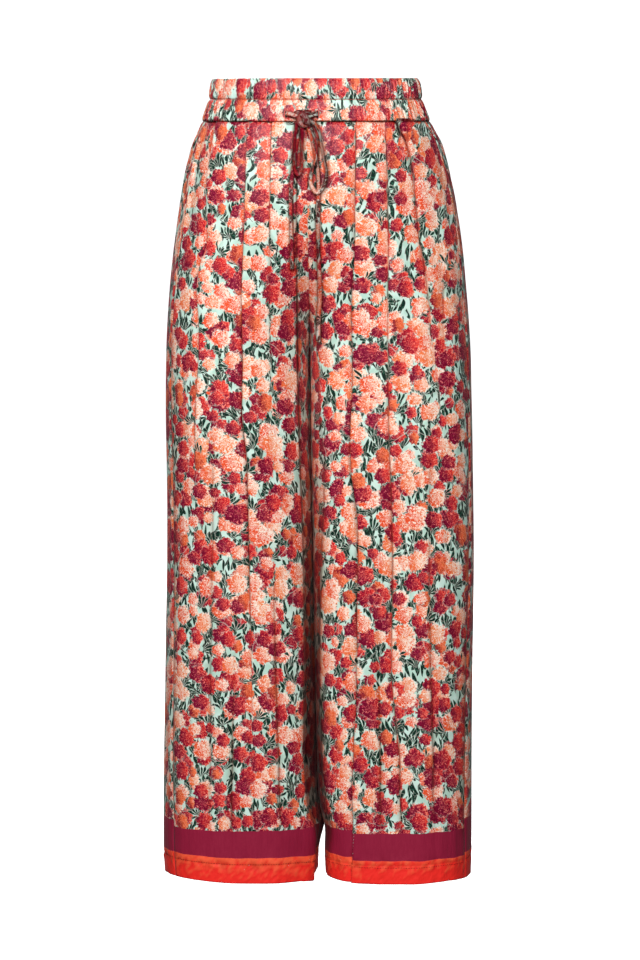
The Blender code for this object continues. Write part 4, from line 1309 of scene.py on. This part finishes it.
def sweepStrip(rows, width, thickness, seed):
    # flat soft strip swept along its route, as vertices, faces and print coordinates
    points, turns, run = smoothRoute(rows, drawstring["step"])
    tangent = unit(np.gradient(points, axis=0))
    flat = unit(np.cross(tangent, np.array([0.0, -1.0, 0.0])))
    outward = unit(np.cross(flat, tangent))
    rng = np.random.default_rng(seed)
    wave = np.interp(run, np.linspace(0, run[-1], 9), rng.uniform(-0.14, 0.14, 9))
    curl = np.interp(run, np.linspace(0, run[-1], 7), rng.uniform(-0.20, 0.20, 7))
    section = np.array(stripSection)
    corners, uv, shade = [], [], []
    for i, point in enumerate(points):
        wide = flat[i] * math.cos(turns[i]) + outward[i] * math.sin(turns[i])
        thick = np.cross(wide, tangent[i])
        breadth = width * (1 + wave[i])
        for a, b in section:
            bow = curl[i] * (4 * a * a - 0.5) * thickness
            corners.append(point + wide * a * breadth + thick * (b * thickness + bow))
            uv.append((a * breadth * 1.2 + b * 0.002 + seed * 0.11, run[i] + seed * 0.07))
            # painted shade darkens the strip towards its edges
            shade.append(drawstring["edgeShade"] * abs(2 * a) ** 3)
    return corners, rodFaces(len(points), len(section)), uv, shade, points, run[-1]


def stringPiece(name, corners, faces, uv, shade):
    look = knotSatin if name in drawstring["darkPieces"] else stringSatin
    piece = meshObject("string_" + name, corners, faces, uv, [look], [0] * len(faces), np.array(shade))
    declare(piece, "drawstring_" + name)
    return piece


strips = {}
for index, (name, rows) in enumerate(cordRoutes.items()):
    *sweep, points, measured = sweepStrip(rows, drawstring["width"], drawstring["thickness"], index + 1)
    strips[name] = (stringPiece(name, *sweep), points, measured)

# The knot: a soft core with the strip crossed and wrapped over it.
knotRoutes = (
    ((-0.0150, 0.0525, 0.0020, 0), (-0.0195, 0.0500, 0.0062, 0), (-0.0205, 0.0450, 0.0088, 0),
     (-0.0165, 0.0405, 0.0092, 0), (-0.0115, 0.0385, 0.0064, 0), (-0.0092, 0.0392, 0.0020, 0)),
    ((-0.0245, 0.0400, 0.0026, 0), (-0.0220, 0.0382, 0.0066, 0), (-0.0178, 0.0392, 0.0100, 0),
     (-0.0140, 0.0436, 0.0112, 0), (-0.0124, 0.0490, 0.0096, 0), (-0.0128, 0.0535, 0.0040, 0)),
    ((-0.0238, 0.0470, 0.0030, 0), (-0.0222, 0.0486, 0.0068, 0), (-0.0185, 0.0500, 0.0082, 0),
     (-0.0140, 0.0512, 0.0066, 0), (-0.0112, 0.0500, 0.0026, 0)),
)


def knotPiece():
    corners, uv, shade = [], [], []
    place = frontPlace(*drawstring["knotPlace"], drawstring["knotOut"])
    rows, columns = drawstring["knotGrid"]
    for i in range(rows + 1):
        rise = math.pi * i / rows
        for j in range(columns):
            turn = 2 * math.pi * j / columns
            direction = (math.sin(rise) * math.cos(turn), math.sin(rise) * math.sin(turn), math.cos(rise))
            corners.append(place + np.array(direction) * np.array(drawstring["knotSize"]) / 2)
            uv.append((0.9 + turn * 0.002, 0.6 + rise * 0.004))
            # painted shade on the core, which lies under the wraps
            shade.append(0.5)
    faces = [(a, d, c, b) for a, b, c, d in ringFaces(rows + 1, columns)]
    for index, route in enumerate(knotRoutes):
        more, moreFaces, moreUv, moreShade, *_ = sweepStrip(route, drawstring["knotStrip"],
                                                            drawstring["knotThickness"], 21 + index)
        faces += [tuple(corner + len(corners) for corner in face) for face in moreFaces]
        corners += more
        uv += moreUv
        shade += moreShade
    return stringPiece("knot", corners, faces, uv, shade)


knot = knotPiece()
print("drawstring made")

# Buttonholes: a dark disc of painted shade in the opening, in a ring of close stitches.
buttonholes = {
    "places": {"left": (-0.0354, 0.0400), "right": (-0.0006, 0.0402)},
    "high": 0.0100,
    "wide": 0.0034,
    "threadWide": 0.0011,
    "around": 64,
    "threadSides": 8,
    "bead": 0.18,              # how much thicker every other stitch is
    "flat": 0.55,
}


def slitShadeMaterial():
    m = Shader("buttonhole_slit_shade")
    # painted shade: the dark of the open slit
    ink = m.mix(m.noise(m.place(), 1.5, 2.0).rise(0.3, 0.7), colour(30, 12, 16), colour(60, 20, 28))
    return m.finish({"Base Color": ink, "Roughness": 0.8})


slit = slitShadeMaterial()


def buttonholePiece(name, x, drop):
    centre = frontPlace(x, drop, 0.0)
    points, uv = [], []
    around, ring = buttonholes["around"], buttonholes["threadSides"]
    for i in range(around):
        turn = 2 * math.pi * i / around
        direction = np.array([math.cos(turn), 0.0, math.sin(turn)])
        spine = centre + np.array([math.cos(turn) * buttonholes["wide"] / 2, 0.0,
                                   math.sin(turn) * buttonholes["high"] / 2])
        bead = 1 + buttonholes["bead"] * math.cos(math.pi * i)
        for k in range(ring):
            angle = 2 * math.pi * k / ring
            points.append(spine + (direction * math.cos(angle)
                                   + np.array([0, -buttonholes["flat"], 0]) * math.sin(angle)) * bead
                          * buttonholes["threadWide"] / 2)
            uv.append((i * 0.0004, k * 0.0003))
    faces = ringFaces(around, ring, closed=True)
    which = [0] * len(faces) + [1] * around
    start = len(points)
    points.append(centre + [0, -0.00005, 0])
    uv.append((0.0, 0.0))
    for i in range(around):
        turn = 2 * math.pi * i / around
        points.append(centre + np.array([math.cos(turn) * buttonholes["wide"] / 2, -0.00005,
                                         math.sin(turn) * buttonholes["high"] / 2]))
        uv.append((math.cos(turn) * 0.002, math.sin(turn) * 0.005))
    faces += [(start, start + 1 + i, start + 1 + (i + 1) % around) for i in range(around)]
    declare(meshObject(name, points, faces, uv, [thread, slit], which))


for name, (x, drop) in buttonholes["places"].items():
    buttonholePiece("buttonhole_" + name, x, drop)

# Each leg panel's face name, and the drawstring's free strips with their points and lengths.
for name, piece in panels.items():
    faceName = name.split("_")[0]
    "cloth_band_" + faceName
for name, farEnd in (("loop_left", "object"), ("loop_right", "object"), ("tail_left", "bare"),
                     ("tail_right", "bare")):
    piece, points, measured = strips[name]
    extra = [knot, strips["lead_left"][0], strips["lead_right"][0]] if name == "loop_left" else []

# Studio: pale floor and walls, soft lights, and the camera of the photograph.
studio = {
    "floorHeight": -1.00,
    "radius": 8.0,
    "around": 48,
    "glow": 1.0,
    "world": 0.10,
    "key": {"place": (-0.95, -2.2, 1.25), "size": 1.3, "sizeY": 1.3, "power": 43.0},
    "fill": {"place": (0.30, -3.2, 1.20), "size": 2.2, "sizeY": 0.9, "power": 90.0},
    "back": {"place": (-1.0, 2.9, 1.9), "size": 2.2, "sizeY": 1.6, "power": 135.0},
    "lightAim": (0.0, 0.0, -0.42),
    "cameraPlace": (0.0023, -4.5, 0.024),
    "cameraAim": (0.0023, 0.0, -0.4334),
    "sensor": 24.0,            # millimetres
    "frameHeight": 1.0985,     # height that the picture shows at the aim
}


def roomMaterial():
    m = Shader("studio_white")
    place = m.add("ShaderNodeTexCoord", {}, {}, 3)
    ink = m.mix(m.noise(place, 3.0, 2.0), colour(246, 246, 246), colour(250, 250, 250))
    return m.finish({"Base Color": ink, "Roughness": 0.9, "Emission Color": colour(255, 255, 255),
                     "Emission Strength": studio["glow"]})


def studioRoom():
    # round pale floor that curves up into a dome; it shows, but throws no light on the cloth
    radius, floor = studio["radius"], studio["floorHeight"]
    profile = [(0.0, floor), (radius * 0.5, floor), (radius * 0.8, floor)]
    profile += [(radius * (0.8 + 0.2 * math.sin(a)), floor + radius * 0.2 * (1 - math.cos(a)))
                for a in np.radians(np.arange(10, 91, 10))]
    profile += [(radius * math.cos(a), floor + radius * (0.2 + 0.6 * math.sin(a)))
                for a in np.radians(np.arange(10, 90, 10))]
    profile.append((0.0, floor + radius * 0.8))
    around = studio["around"]
    points = [(r * math.cos(2 * math.pi * k / around), r * math.sin(2 * math.pi * k / around), z)
              for r, z in profile for k in range(around)]
    faces = ringFaces(len(profile), around)
    room = meshObject("studio_room", points, faces, [(0, 0)] * len(points), [roomMaterial()],
                      [0] * len(faces))
    room.visible_diffuse = room.visible_glossy = room.visible_shadow = False


def areaLight(name, settings):
    light = bpy.data.lights.new(name, "AREA")
    light.shape = "ELLIPSE"
    light.size = settings["size"]
    light.size_y = settings["sizeY"]
    light.energy = settings["power"]
    item = bpy.data.objects.new(name, light)
    item.location = settings["place"]
    aim = Vector(studio["lightAim"]) - Vector(settings["place"])
    item.rotation_euler = aim.to_track_quat("-Z", "Y").to_euler()
    bpy.context.scene.collection.objects.link(item)


studioRoom()
for name in ("key", "fill", "back"):
    areaLight(name + "_light", studio[name])
world = bpy.data.worlds.new("studio_world")
world.use_nodes = True
background = world.node_tree.nodes["Background"]
background.inputs["Color"].default_value = (1.0, 1.0, 1.0, 1.0)
background.inputs["Strength"].default_value = studio["world"]
bpy.context.scene.world = world
bpy.context.scene.view_settings.view_transform = "Standard"
camera = bpy.data.objects.new("camera", bpy.data.cameras.new("camera"))
aim = Vector(studio["cameraAim"]) - Vector(studio["cameraPlace"])
camera.location = studio["cameraPlace"]
camera.rotation_euler = aim.to_track_quat("-Z", "Y").to_euler()
camera.data.sensor_fit = "VERTICAL"
camera.data.sensor_height = studio["sensor"]
camera.data.lens = studio["sensor"] * aim.length / studio["frameHeight"]
bpy.context.scene.collection.objects.link(camera)
bpy.context.scene.camera = camera
print("studio made")
